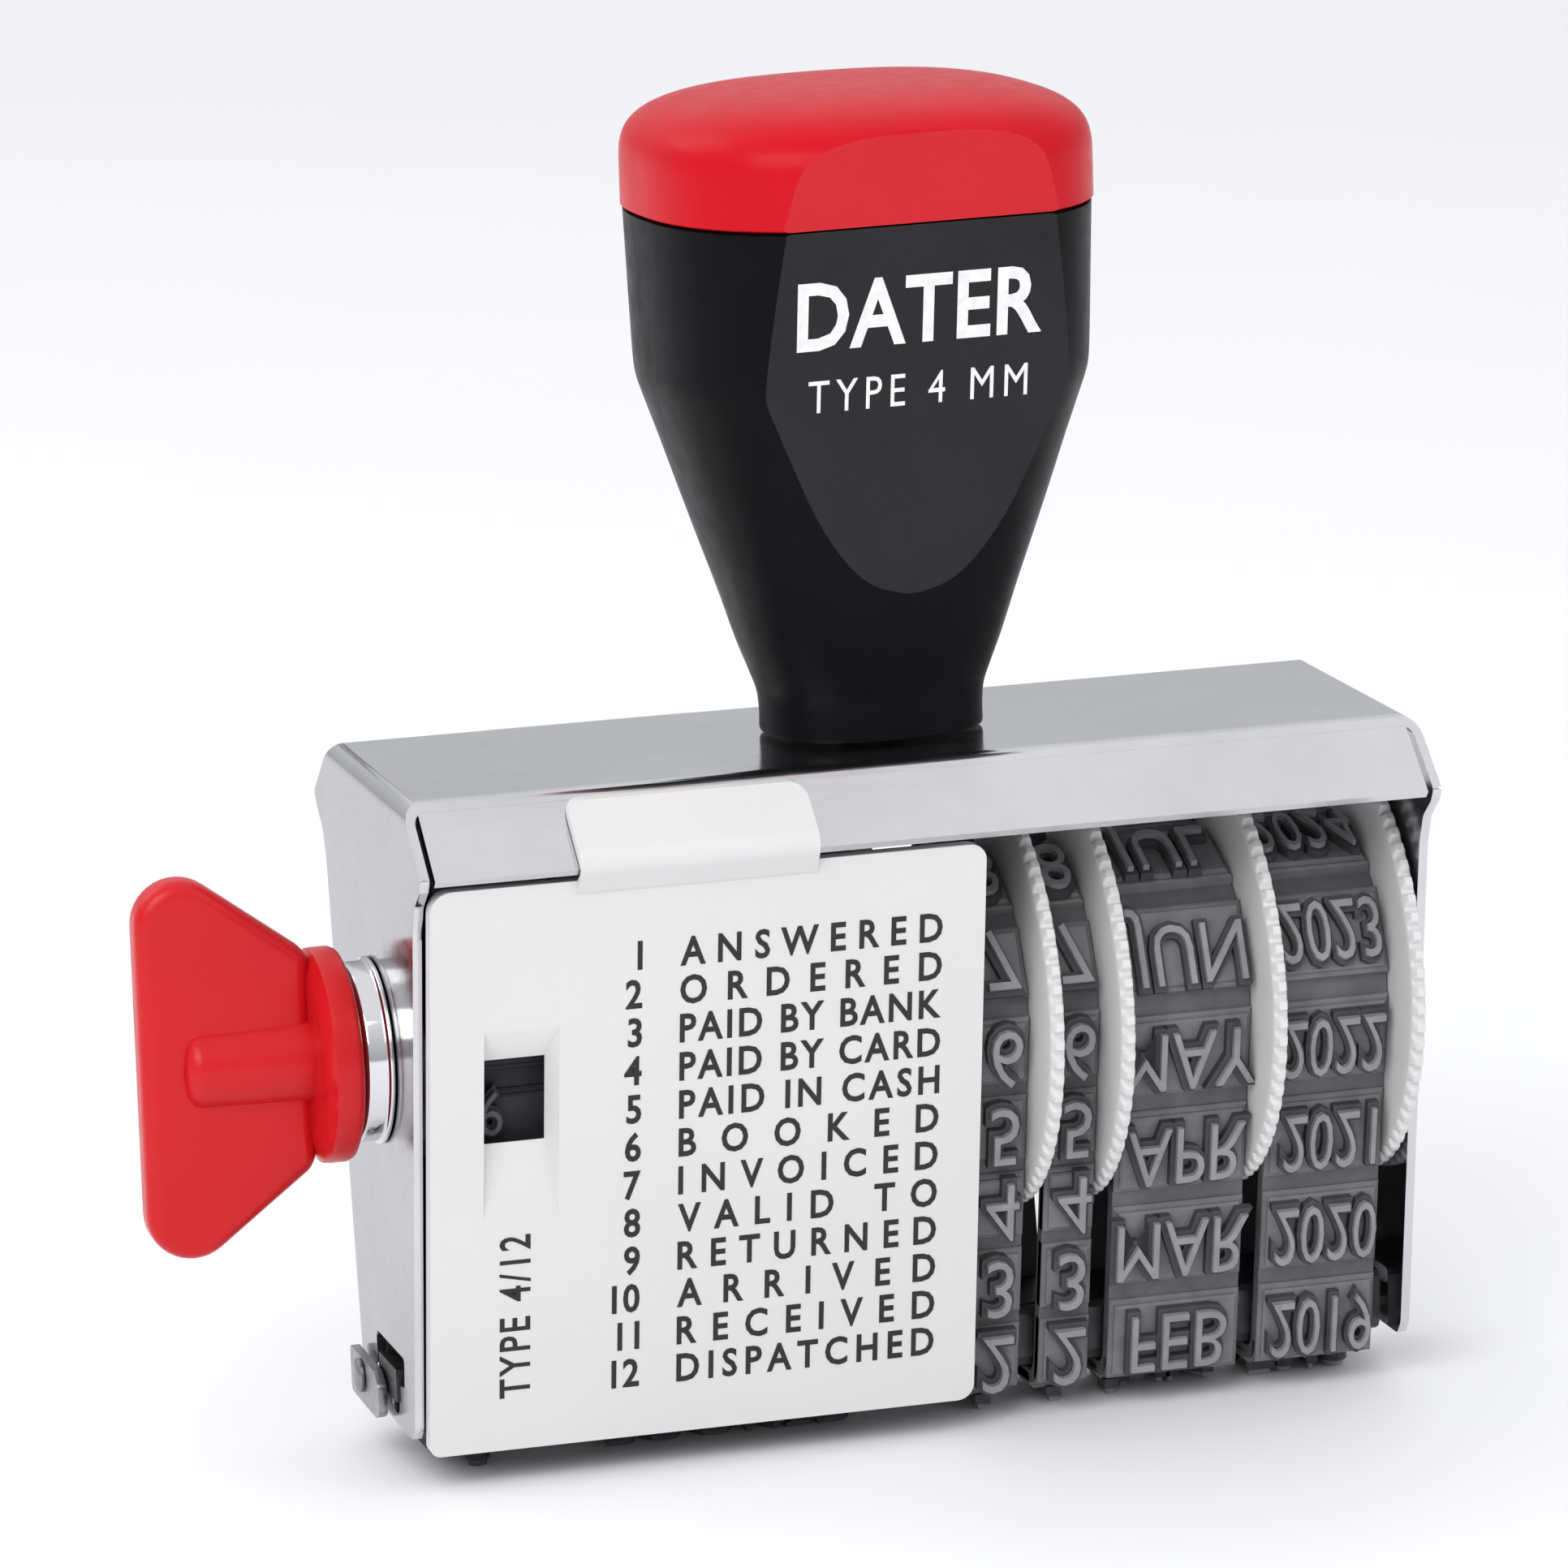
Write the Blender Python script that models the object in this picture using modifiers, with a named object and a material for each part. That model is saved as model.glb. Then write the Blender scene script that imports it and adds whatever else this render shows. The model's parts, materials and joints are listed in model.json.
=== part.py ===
"""Rotary date stamp with a phrase drum: sheet frame, four date wheels, five type bands, handle and wing knob.

All driving sizes are in millimetres and are turned into metres when a mesh is made.
X runs along the stamp with the wing knob at -X, -Y is the legend side, +Z is up.
The origin is on the print face, midway along the frame.
"""
import math

import bmesh
import bpy
from mathutils import Matrix

MM = 0.001

# Frame: one bent sheet
SHEET = 0.6
HALF_LENGTH = 34.0
FRAME_BOTTOM = 3.2
FRAME_TOP = 46.0
TOP_HALF_DEPTH = 10.1
SHOULDER_HALF_DEPTH = 14.9
SHOULDER_EDGE_Z = 41.8
PLATE_UPPER_HALF_DEPTH = 12.1
PLATE_UPPER_Z = 37.8
PLATE_LOWER_HALF_DEPTH = 7.0

# Axle, wheels and drum
AXLE_Z = 27.7
AXLE_RADIUS = 1.5
BORE_RADIUS = 1.62
HUB_CLEARANCE = 0.3
KNURL_RADIUS = 14.2
KNURL_ROOT_RADIUS = 13.65
KNURL_TEETH = 72
DISC_THICKNESS = 0.8
NECK_RADIUS = 3.4

# Bands: loops around the hub and the bridge; each loop is (inner radius at the hub, number of blocks)
DATE_LOOP = (8.4, 13)
DAY_LOOP = (8.4, 16)
PHRASE_LOOP = (7.4, 13)
BAND_BASE = 0.9
TYPE_HEIGHT = 1.6
BLOCK_SHARE = 0.84
BRIDGE_HALF_WIDTH = 4.1
BRIDGE_CORNER = 1.0
BRIDGE_GAP = 0.2
BRIDGE_HEIGHT = 4.2
RIVET_Y = 4.0
RIVET_RADIUS = 0.6
RIVET_HOLE_RADIUS = 0.75

# Where each band runs along X, and the right face of its wheel's disc
PHRASE_BAND = (-32.3, 2.9)
DAY_TENS_BAND = (3.6, 7.3)
DAY_UNITS_BAND = (8.7, 12.1)
MONTH_BAND = (13.5, 22.5)
YEAR_BAND = (23.9, 32.0)
DAY_TENS_DISC = 8.4
DAY_UNITS_DISC = 13.2
MONTH_DISC = 23.6
YEAR_DISC = 33.1

# Covers
COVER_LEFT = -33.25
COVER_RIGHT = 3.35
COVER_THICKNESS = 1.2
COVER_TOP = 40.9
COVER_BOTTOM = 2.35
COVER_TOP_DEPTH = 14.2
COVER_BOTTOM_DEPTH = 8.0
TAB_LEFT = -23.7
TAB_RIGHT = -8.0
WINDOW = (-29.7, -26.1, 23.4, 29.1)

# Handle
HANDLE_BASE = 46.3
HANDLE_TOP = 80.1
CAP_BASE = 80.4
CAP_TOP = 88.7
FLAT_TOP_DEPTH = 13.0
FLAT_LOW_DEPTH = 8.2
FLAT_LOW_Z = 55.3
SCREW_RADIUS = 1.9
SCREW_TOP = 60.3
PEG_RADIUS = 4.0
PEG_BOTTOM = 74.3

# Wing knob
KNOB_RING = (-38.3, -36.45)
KNOB_RING_RADIUS = 7.0
KNOB_END = -49.6
WING_HALF_SPAN = 12.6
WING_THICKNESS = 2.8
BOSS_RADIUS = 2.8

ALONG_X = Matrix(((0, 0, 1, 0), (1, 0, 0, 0), (0, 1, 0, 0), (0, 0, 0, 1)))
ALONG_Y = Matrix(((1, 0, 0, 0), (0, 0, -1, 0), (0, 1, 0, 0), (0, 0, 0, 1)))
ALONG_Z = Matrix.Identity(4)


def clear_scene():
    for item in list(bpy.data.objects):
        bpy.data.objects.remove(item, do_unlink=True)


def make_collection(name):
    collection = bpy.data.collections.new(name)
    bpy.context.scene.collection.children.link(collection)
    return collection


def make_material(name, colour, roughness, metallic=0.0):
    material = bpy.data.materials.new(name)
    material.use_nodes = True
    shader = material.node_tree.nodes["Principled BSDF"]
    shader.inputs["Base Color"].default_value = (*colour, 1.0)
    shader.inputs["Roughness"].default_value = roughness
    shader.inputs["Metallic"].default_value = metallic
    return material


def make_object(name, mesh, collection, origin=(0.0, 0.0, 0.0), material=None, smooth=False):
    """Link a mesh given in world millimetres turned to metres, with its origin at a chosen point."""
    offset = [value * MM for value in origin]
    mesh.transform(Matrix.Translation([-value for value in offset]))
    item = bpy.data.objects.new(name, mesh)
    item.location = offset
    collection.objects.link(item)
    if material is not None:
        mesh.materials.clear()
        mesh.materials.append(material)
    for polygon in mesh.polygons:
        polygon.use_smooth = smooth
    return item


def prism_mesh(name, loops, low, high, turn):
    """A flat outline, with any inner loops as holes, run from low to high along one axis."""
    curve = bpy.data.curves.new(name, "CURVE")
    curve.dimensions = "2D"
    curve.fill_mode = "BOTH"
    curve.extrude = (high - low) / 2 * MM
    for loop in loops:
        spline = curve.splines.new("POLY")
        spline.points.add(len(loop) - 1)
        for point, (a, b) in zip(spline.points, loop):
            point.co = (a * MM, b * MM, 0.0, 1.0)
        spline.use_cyclic_u = True
    holder = bpy.data.objects.new(name + "_outline", curve)
    bpy.context.scene.collection.objects.link(holder)
    graph = bpy.context.evaluated_depsgraph_get()
    mesh = bpy.data.meshes.new_from_object(holder.evaluated_get(graph))
    bpy.data.objects.remove(holder, do_unlink=True)
    middle = (low + high) / 2 * MM
    if turn is ALONG_Y:
        middle = -middle
    mesh.transform(turn @ Matrix.Translation((0.0, 0.0, middle)))
    work = bmesh.new()
    work.from_mesh(mesh)
    bmesh.ops.remove_doubles(work, verts=work.verts, dist=1e-7)
    bmesh.ops.recalc_face_normals(work, faces=work.faces)
    work.to_mesh(mesh)
    work.free()
    mesh.name = name
    return mesh


def loft_mesh(name, sections):
    """Skin equal rings of points, bottom ring first, and close both ends."""
    work = bmesh.new()
    rings = [[work.verts.new([value * MM for value in point]) for point in ring] for ring in sections]
    count = len(rings[0])
    for lower, upper in zip(rings, rings[1:]):
        for i in range(count):
            j = (i + 1) % count
            work.faces.new((lower[i], lower[j], upper[j], upper[i]))
    work.faces.new(list(reversed(rings[0])))
    work.faces.new(rings[-1])
    bmesh.ops.recalc_face_normals(work, faces=work.faces)
    mesh = bpy.data.meshes.new(name)
    work.to_mesh(mesh)
    work.free()
    return mesh


def turned(name, profile, steps, collection, origin, material, lying=True, closed=False):
    """Spin a profile of (radius, height) points, given from the top end down, about its own axis."""
    mesh = bpy.data.meshes.new(name)
    points = [(radius * MM, 0.0, height * MM) for radius, height in profile]
    edges = [(i, i + 1) for i in range(len(points) - 1)]
    if closed:
        edges.append((len(points) - 1, 0))
    mesh.from_pydata(points, edges, [])
    item = bpy.data.objects.new(name, mesh)
    item.location = [value * MM for value in origin]
    if lying:
        item.rotation_euler = (0.0, math.pi / 2, 0.0)
    collection.objects.link(item)
    spin = item.modifiers.new("spin", "SCREW")
    spin.axis = "Z"
    spin.steps = steps
    spin.render_steps = steps
    spin.use_merge_vertices = True
    spin.merge_threshold = 0.00001
    spin.use_smooth_shade = True
    if material is not None:
        mesh.materials.append(material)
    return item


def boolean(target, tool, operation):
    step = target.modifiers.new(operation.lower() + "_" + tool.name, "BOOLEAN")
    step.operation = operation
    step.solver = "EXACT"
    step.object = tool


def tool_object(mesh, cutters):
    item = make_object(mesh.name, mesh, cutters)
    item.hide_render = True
    item.display_type = "WIRE"
    return item


def circle(radius, count, centre=(0.0, 0.0), phase=0.0):
    return [(centre[0] + radius * math.cos(phase + 2 * math.pi * i / count),
             centre[1] + radius * math.sin(phase + 2 * math.pi * i / count)) for i in range(count)]


def rod_mesh(name, radius, low, high, turn, count, centre=(0.0, 0.0)):
    return prism_mesh(name, [circle(radius, count, centre)], low, high, turn)


def mirrored(half):
    """Close a half outline, given from the top middle outwards and down, by its mirror image."""
    return half + [(-y, z) for y, z in reversed(half)]


def arc(centre, radius, start, end, count):
    return [(centre[0] + radius * math.cos(math.radians(start + (end - start) * i / count)),
             centre[1] + radius * math.sin(math.radians(start + (end - start) * i / count)))
            for i in range(count + 1)]


# Frame

def shoulder_vectors():
    run = SHOULDER_HALF_DEPTH - TOP_HALF_DEPTH
    drop = FRAME_TOP - SHOULDER_EDGE_Z
    length = math.hypot(run, drop)
    return (run / length, -drop / length), (drop / length, run / length)


def frame_outline():
    """Half outline of an end plate: along the top, down the shoulder, in at the waist, down to the foot."""
    half = [(TOP_HALF_DEPTH - 0.45, FRAME_TOP), (TOP_HALF_DEPTH + 0.3, FRAME_TOP - 0.3),
            (SHOULDER_HALF_DEPTH, SHOULDER_EDGE_Z)]
    half += [(SHOULDER_HALF_DEPTH - 0.6, SHOULDER_EDGE_Z - 0.9),
             (PLATE_UPPER_HALF_DEPTH + 1.1, SHOULDER_EDGE_Z - 1.5),
             (PLATE_UPPER_HALF_DEPTH + 0.3, SHOULDER_EDGE_Z - 2.5)]
    half += [(PLATE_UPPER_HALF_DEPTH, PLATE_UPPER_Z), (PLATE_LOWER_HALF_DEPTH + 0.1, FRAME_BOTTOM + 0.8),
             (PLATE_LOWER_HALF_DEPTH - 0.6, FRAME_BOTTOM)]
    return mirrored(half)


def frame_cavity():
    """Half outline of the space inside: under the sheet, out past the shoulder's edge, open below."""
    along, out = shoulder_vectors()
    inner_top = (TOP_HALF_DEPTH - 0.28, FRAME_TOP - SHEET)
    edge = (SHOULDER_HALF_DEPTH - 0.04 * along[0], SHOULDER_EDGE_Z - 0.04 * along[1])
    inner_edge = (edge[0] - SHEET * out[0], edge[1] - SHEET * out[1])
    beyond = (edge[0] + 3.0 * out[0], edge[1] + 3.0 * out[1])
    half = [(inner_top[0], inner_top[1]), inner_edge, beyond, (24.0, beyond[1]), (24.0, -4.0)]
    return mirrored(half)


def build_frame(parts, cutters, material):
    mesh = prism_mesh("frame", [frame_outline()], -HALF_LENGTH, HALF_LENGTH, ALONG_X)
    frame = make_object("frame", mesh, parts, material=material)
    inner = HALF_LENGTH - SHEET
    cavity = tool_object(prism_mesh("cut_cavity", [frame_cavity()], -inner, inner, ALONG_X), cutters)
    boolean(frame, cavity, "DIFFERENCE")
    neck = rod_mesh("cut_neck_hole", NECK_RADIUS + 0.35, -36.0, -32.0, ALONG_X, 32, (0.0, AXLE_Z))
    boolean(frame, tool_object(neck, cutters), "DIFFERENCE")
    axle = rod_mesh("cut_axle_hole", BORE_RADIUS, 32.0, 36.0, ALONG_X, 24, (0.0, AXLE_Z))
    boolean(frame, tool_object(axle, cutters), "DIFFERENCE")
    screw = rod_mesh("cut_screw_hole", SCREW_RADIUS + 0.3, FRAME_TOP - 3.0, FRAME_TOP + 3.0, ALONG_Z, 24)
    boolean(frame, tool_object(screw, cutters), "DIFFERENCE")
    for side, label in ((-1, "left"), (1, "right")):
        low, high = sorted((side * 32.0, side * 36.0))
        slot = bridge_tab(0.3)
        cut = prism_mesh("cut_bridge_slot_" + label, [slot], low, high, ALONG_X)
        boolean(frame, tool_object(cut, cutters), "DIFFERENCE")
        middle = (RIVET_Y, rivet_z())
        pin = rod_mesh("cut_rivet_hole_" + label, RIVET_HOLE_RADIUS, low, high, ALONG_X, 16, middle)
        boolean(frame, tool_object(pin, cutters), "DIFFERENCE")
    return frame


# Bands

def band_path(hub_radius):
    """Where the straight runs of a band end: half the print run, its height, and the lean of the side run."""
    small = (BRIDGE_HALF_WIDTH - BRIDGE_CORNER)
    low_z = BAND_BASE + TYPE_HEIGHT + BRIDGE_CORNER
    dy = small
    dz = AXLE_Z - low_z
    span = math.hypot(dy, dz)
    lean = math.degrees(math.asin((hub_radius - BRIDGE_CORNER) / span) - math.atan2(dy, dz))
    return small, low_z, lean


def band_points(hub_radius, step_mm=1.44):
    """Points, outward normals and arc lengths along half a band; arc length is taken at mid base.

    It starts at the middle of the print face and goes round by -Y, up and over the hub.
    """
    small, low_z, lean = band_path(hub_radius)
    middle = BAND_BASE / 2
    pieces = []
    pieces.append(("line", (0.0, low_z - BRIDGE_CORNER), (-small, low_z - BRIDGE_CORNER), (0.0, -1.0)))
    pieces.append(("arc", (-small, low_z), BRIDGE_CORNER, 270.0, 180.0 + lean))
    tilt = math.radians(180.0 + lean)
    normal = (math.cos(tilt), math.sin(tilt))
    start = (-small + BRIDGE_CORNER * normal[0], low_z + BRIDGE_CORNER * normal[1])
    end = (hub_radius * normal[0], AXLE_Z + hub_radius * normal[1])
    pieces.append(("line", start, end, normal))
    pieces.append(("arc", (0.0, AXLE_Z), hub_radius, 180.0 + lean, 90.0))
    samples = []
    travelled = 0.0
    for piece in pieces:
        if piece[0] == "line":
            _, a, b, n = piece
            length = math.dist(a, b)
            samples.append((travelled, a, n))
            travelled += length
            samples.append((travelled, b, n))
        else:
            _, centre, radius, first, last = piece
            length = math.radians(abs(first - last)) * (radius + middle)
            count = max(3, int(length / step_mm))
            for i in range(count + 1):
                angle = math.radians(first + (last - first) * i / count)
                n = (math.cos(angle), math.sin(angle))
                point = (centre[0] + radius * n[0], centre[1] + radius * n[1])
                samples.append((travelled + length * i / count, point, n))
            travelled += length
    return samples, travelled


def locate(samples, total, distance):
    """Point and outward normal at an arc length, for either half of the loop."""
    distance = distance % (2 * total)
    flip = distance > total
    if flip:
        distance = 2 * total - distance
    for (s0, p0, n0), (s1, p1, n1) in zip(samples, samples[1:]):
        if s0 <= distance <= s1 and s1 > s0:
            t = (distance - s0) / (s1 - s0)
            point = (p0[0] + (p1[0] - p0[0]) * t, p0[1] + (p1[1] - p0[1]) * t)
            n = (n0[0] + (n1[0] - n0[0]) * t, n0[1] + (n1[1] - n0[1]) * t)
            size = math.hypot(*n)
            n = (n[0] / size, n[1] / size)
            break
    else:
        point, n = samples[-1][1], samples[-1][2]
    if flip:
        return (-point[0], point[1]), (-n[0], n[1])
    return point, n


def band_loops(hub_radius, blocks):
    """Outer toothed outline and inner outline of a band."""
    samples, total = band_points(hub_radius)
    pitch = 2 * total / blocks
    block = pitch * BLOCK_SHARE
    outer = []
    for index in range(blocks):
        centre = index * pitch
        for shift, height in ((-block / 2, BAND_BASE), (-block / 2, None), (-block / 4, None), (0.0, None),
                              (block / 4, None), (block / 2, None), (block / 2, BAND_BASE)):
            rise = BAND_BASE + TYPE_HEIGHT if height is None else height
            point, n = locate(samples, total, centre + shift)
            outer.append((point[0] + n[0] * rise, point[1] + n[1] * rise))
    inner = []
    seen = set()
    for _, point, _ in samples:
        key = (round(point[0], 4), round(point[1], 4))
        if key not in seen:
            seen.add(key)
            inner.append(point)
    back = [(-y, z) for y, z in reversed(inner) if abs(y) > 1e-6]
    return outer, inner + back


def build_bands(parts, material):
    ranges = (("band_phrase", PHRASE_BAND, PHRASE_LOOP), ("band_day_tens", DAY_TENS_BAND, DAY_LOOP),
              ("band_day_units", DAY_UNITS_BAND, DAY_LOOP), ("band_month", MONTH_BAND, DATE_LOOP),
              ("band_year", YEAR_BAND, DATE_LOOP))
    for name, (low, high), (hub_radius, blocks) in ranges:
        mesh = prism_mesh(name, band_loops(hub_radius, blocks), low, high, ALONG_X)
        make_object(name, mesh, parts, material=material)


# Wheels, drum and axle

def fluted(radius, depth, count):
    outline = []
    for i in range(count):
        for share, r in ((0.0, radius), (0.30, radius), (0.42, radius - depth), (0.88, radius - depth)):
            angle = 2 * math.pi * (i + share) / count
            outline.append((r * math.cos(angle), AXLE_Z + r * math.sin(angle)))
    return outline


def knurled():
    outline = []
    for i in range(KNURL_TEETH):
        for share, r in ((0.0, KNURL_ROOT_RADIUS), (0.5, KNURL_RADIUS)):
            angle = 2 * math.pi * (i + share) / KNURL_TEETH
            outline.append((r * math.cos(angle), AXLE_Z + r * math.sin(angle)))
    return outline


def build_wheel(name, band, disc_face, parts, cutters, material):
    disc_start = disc_face - DISC_THICKNESS
    disc = prism_mesh(name, [knurled()], disc_start, disc_face, ALONG_X)
    wheel = make_object(name, disc, parts, (disc_face, 0.0, AXLE_Z), material)
    middle = (0.0, AXLE_Z)
    hub_radius = DATE_LOOP[0] - HUB_CLEARANCE
    hub = prism_mesh("add_hub_" + name, [fluted(hub_radius, 0.9, 12)], band[0], disc_face - 0.2, ALONG_X)
    boolean(wheel, tool_object(hub, cutters), "UNION")
    bore = rod_mesh("cut_bore_" + name, BORE_RADIUS, band[0] - 2.0, disc_face + 2.0, ALONG_X, 24, middle)
    boolean(wheel, tool_object(bore, cutters), "DIFFERENCE")


def build_drum(parts, cutters, material):
    low, high = PHRASE_BAND
    body = prism_mesh("phrase_drum", [fluted(PHRASE_LOOP[0] - HUB_CLEARANCE, 0.9, 12)], low, high, ALONG_X)
    drum = make_object("phrase_drum", body, parts, (low, 0.0, AXLE_Z), material)
    neck = rod_mesh("add_neck", NECK_RADIUS, -38.0, low + 0.4, ALONG_X, 32, (0.0, AXLE_Z))
    boolean(drum, tool_object(neck, cutters), "UNION")
    bore = rod_mesh("cut_drum_bore", BORE_RADIUS, -40.0, high + 2.0, ALONG_X, 24, (0.0, AXLE_Z))
    boolean(drum, tool_object(bore, cutters), "DIFFERENCE")


def build_axle(parts, material):
    head = HALF_LENGTH + 0.3
    profile = [(0.0, head + 0.9), (1.9, head + 0.9), (2.6, head + 0.4), (2.6, head),
               (AXLE_RADIUS, head), (AXLE_RADIUS, -40.4), (1.2, -40.8), (0.0, -40.8)]
    turned("axle", profile, 24, parts, (0.0, 0.0, AXLE_Z), material)


# Knob

def build_knob(parts, cutters, red, chrome):
    low, high = KNOB_RING
    half = [(low + 0.4, 6.7), (-45.0, 11.9), (-46.2, WING_HALF_SPAN), (-47.4, 12.4), (-48.9, 11.4),
            (KNOB_END, 10.2)]
    outline = [(x, AXLE_Z + z) for x, z in half] + [(x, AXLE_Z - z) for x, z in reversed(half)]
    wing = prism_mesh("knob", [outline], -WING_THICKNESS / 2, WING_THICKNESS / 2, ALONG_Y)
    knob = make_object("knob", wing, parts, (high, 0.0, AXLE_Z), red)
    ring = rod_mesh("add_ring", KNOB_RING_RADIUS, low, high, ALONG_X, 48, (0.0, AXLE_Z))
    boolean(knob, tool_object(ring, cutters), "UNION")
    boss = rod_mesh("add_boss", BOSS_RADIUS, -46.2, low + 0.5, ALONG_X, 24, (0.0, AXLE_Z))
    boolean(knob, tool_object(boss, cutters), "UNION")
    socket = rod_mesh("cut_socket", NECK_RADIUS + 0.08, -38.1, -35.0, ALONG_X, 32, (0.0, AXLE_Z))
    boolean(knob, tool_object(socket, cutters), "DIFFERENCE")
    tip = rod_mesh("cut_tip", BORE_RADIUS, -41.2, -35.0, ALONG_X, 24, (0.0, AXLE_Z))
    boolean(knob, tool_object(tip, cutters), "DIFFERENCE")
    profile = [(5.7, -34.3), (5.9, -34.5), (5.9, -35.0), (6.3, -35.15), (6.3, -35.45), (5.9, -35.6),
               (5.9, -35.95), (5.7, -36.15), (4.0, -36.15), (4.0, -34.3)]
    turned("knob_collar", profile, 48, parts, (0.0, 0.0, AXLE_Z), chrome, closed=True)


# Bridge and its clips

def rivet_z():
    return FRAME_BOTTOM + 1.7


def bridge_tab(grow):
    """Side outline of the tongue on each end of the bridge, or of its slot when grown a little."""
    low = FRAME_BOTTOM + 1.6
    return [(-2.9 - grow, low - grow), (1.9 + grow, low - grow), (1.9 + grow, low + 2.2 + grow),
            (-2.9 - grow, low + 2.2 + grow)]


def build_bridge(parts, cutters, steel):
    top_gap = BAND_BASE + TYPE_HEIGHT + BRIDGE_GAP
    width = BRIDGE_HALF_WIDTH - BRIDGE_GAP
    height = top_gap + BRIDGE_HEIGHT
    inner = HALF_LENGTH - SHEET - 0.3
    half = [(width - 0.35, height), (width, height - 0.4), (width, top_gap + 0.9),
            (width - 0.3, top_gap + 0.3), (width - 0.9, top_gap)]
    body = prism_mesh("bridge", [mirrored(half)], -inner, inner, ALONG_X)
    bridge = make_object("bridge", body, parts, material=steel)
    reach = HALF_LENGTH + 0.15
    tenons = prism_mesh("add_tenons", [bridge_tab(0.0)], -reach, reach, ALONG_X)
    boolean(bridge, tool_object(tenons, cutters), "UNION")


def build_clips(parts, cutters, steel):
    for side, label in ((-1, "left"), (1, "right")):
        near = side * (HALF_LENGTH + 0.3)
        far = side * (HALF_LENGTH + 0.9)
        low, high = sorted((near, far))
        outline = [(6.9, FRAME_BOTTOM), (6.9, FRAME_BOTTOM + 2.9), (3.0, FRAME_BOTTOM + 2.9),
                   (2.6, FRAME_BOTTOM + 4.8), (-3.6, FRAME_BOTTOM + 4.8), (-3.6, FRAME_BOTTOM)]
        mesh = prism_mesh("clip_" + label, [outline], low, high, ALONG_X)
        clip = make_object("clip_" + label, mesh, parts, material=steel)
        low, high = sorted((near - side, far + side))
        middle = (RIVET_Y, rivet_z())
        hole = rod_mesh("cut_clip_" + label, RIVET_HOLE_RADIUS, low, high, ALONG_X, 16, middle)
        boolean(clip, tool_object(hole, cutters), "DIFFERENCE")
        slot = arc((-0.6, FRAME_BOTTOM + 3.0), 0.7, 0.0, 180.0, 6)
        slot += arc((-0.6, FRAME_BOTTOM + 1.4), 0.7, 180.0, 360.0, 6)
        cut = prism_mesh("cut_clip_slot_" + label, [slot], low, high, ALONG_X)
        boolean(clip, tool_object(cut, cutters), "DIFFERENCE")
        outer = HALF_LENGTH + 1.0
        inner = HALF_LENGTH - SHEET
        profile = [(0.0, outer + 0.45), (0.8, outer + 0.4), (1.15, outer + 0.15), (1.15, outer),
                   (RIVET_RADIUS, outer), (RIVET_RADIUS, inner + 0.05), (0.0, inner + 0.05)]
        rivet = turned("clip_rivet_" + label, profile, 16, parts, (0.0, RIVET_Y, rivet_z()), steel)
        if side < 0:
            rivet.rotation_euler = (0.0, -math.pi / 2, 0.0)


# Covers

def cover_depth(z):
    share = (z - COVER_BOTTOM) / (COVER_TOP - COVER_BOTTOM)
    return COVER_BOTTOM_DEPTH + (COVER_TOP_DEPTH - COVER_BOTTOM_DEPTH) * share


def build_cover(name, side, window, parts, cutters, material):
    """A leaning panel made from its side section, with a tab that lies on the frame's shoulder."""
    thick = COVER_THICKNESS
    section = [(cover_depth(COVER_BOTTOM), COVER_BOTTOM), (cover_depth(COVER_TOP), COVER_TOP),
               (cover_depth(COVER_TOP) - thick, COVER_TOP), (cover_depth(COVER_BOTTOM) - thick, COVER_BOTTOM)]
    section = [(side * y, z) for y, z in section]
    mesh = prism_mesh(name, [section], COVER_LEFT, COVER_RIGHT, ALONG_X)
    cover = make_object(name, mesh, parts, material=material)
    along, out = shoulder_vectors()
    first = (TOP_HALF_DEPTH + along[0] * 1.0, FRAME_TOP + along[1] * 1.0)
    last = (SHOULDER_HALF_DEPTH, SHOULDER_EDGE_Z)
    root = COVER_TOP - 2.7
    tab = [(first[0] + out[0] * 0.3, first[1] + out[1] * 0.3),
           (first[0] + out[0] * 1.1, first[1] + out[1] * 1.1),
           (last[0] + out[0] * 1.1 + along[0] * 0.4, last[1] + out[1] * 1.1 + along[1] * 0.4),
           (last[0] + 0.8, last[1] - 0.9), (cover_depth(root) + 0.05, root), (cover_depth(root) - 0.6, root),
           (cover_depth(COVER_TOP - 0.3) - 0.5, COVER_TOP - 0.3),
           (last[0] + along[0] * 0.35, last[1] + along[1] * 0.35),
           (last[0] + out[0] * 0.3 + along[0] * 0.35, last[1] + out[1] * 0.3 + along[1] * 0.35)]
    tab = [(side * y, z) for y, z in tab]
    hook = prism_mesh("add_tab_" + name, [tab], TAB_LEFT, TAB_RIGHT, ALONG_X)
    boolean(cover, tool_object(hook, cutters), "UNION")
    if window:
        left, right, low, high = WINDOW
        box = [(left, low), (right, low), (right, high), (left, high)]
        hole = prism_mesh("cut_window", [box], -20.0, -5.0, ALONG_Y)
        boolean(cover, tool_object(hole, cutters), "DIFFERENCE")


# Handle

def rounded_section(half_x, half_y, power, z, count=32):
    ring = []
    for i in range(count):
        angle = 2 * math.pi * (i + 0.5) / count
        c = math.cos(angle)
        s = math.sin(angle)
        x = math.copysign(abs(c) ** (2 / power), c) * half_x
        y = math.copysign(abs(s) ** (2 / power), s) * half_y
        ring.append((x, y, z))
    return ring


def flat_tool(name, side, low_z, high_z, cutters):
    """A wedge that shaves one leaning flat off the handle's front or back."""
    slope = (FLAT_TOP_DEPTH - FLAT_LOW_DEPTH) / (CAP_TOP - FLAT_LOW_Z)

    def depth(z):
        return FLAT_LOW_DEPTH + slope * (z - FLAT_LOW_Z)

    section = [(side * depth(low_z), low_z), (side * depth(high_z), high_z),
               (side * 30.0, high_z), (side * 30.0, low_z)]
    return tool_object(prism_mesh(name, [section], -25.0, 25.0, ALONG_X), cutters)


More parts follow.
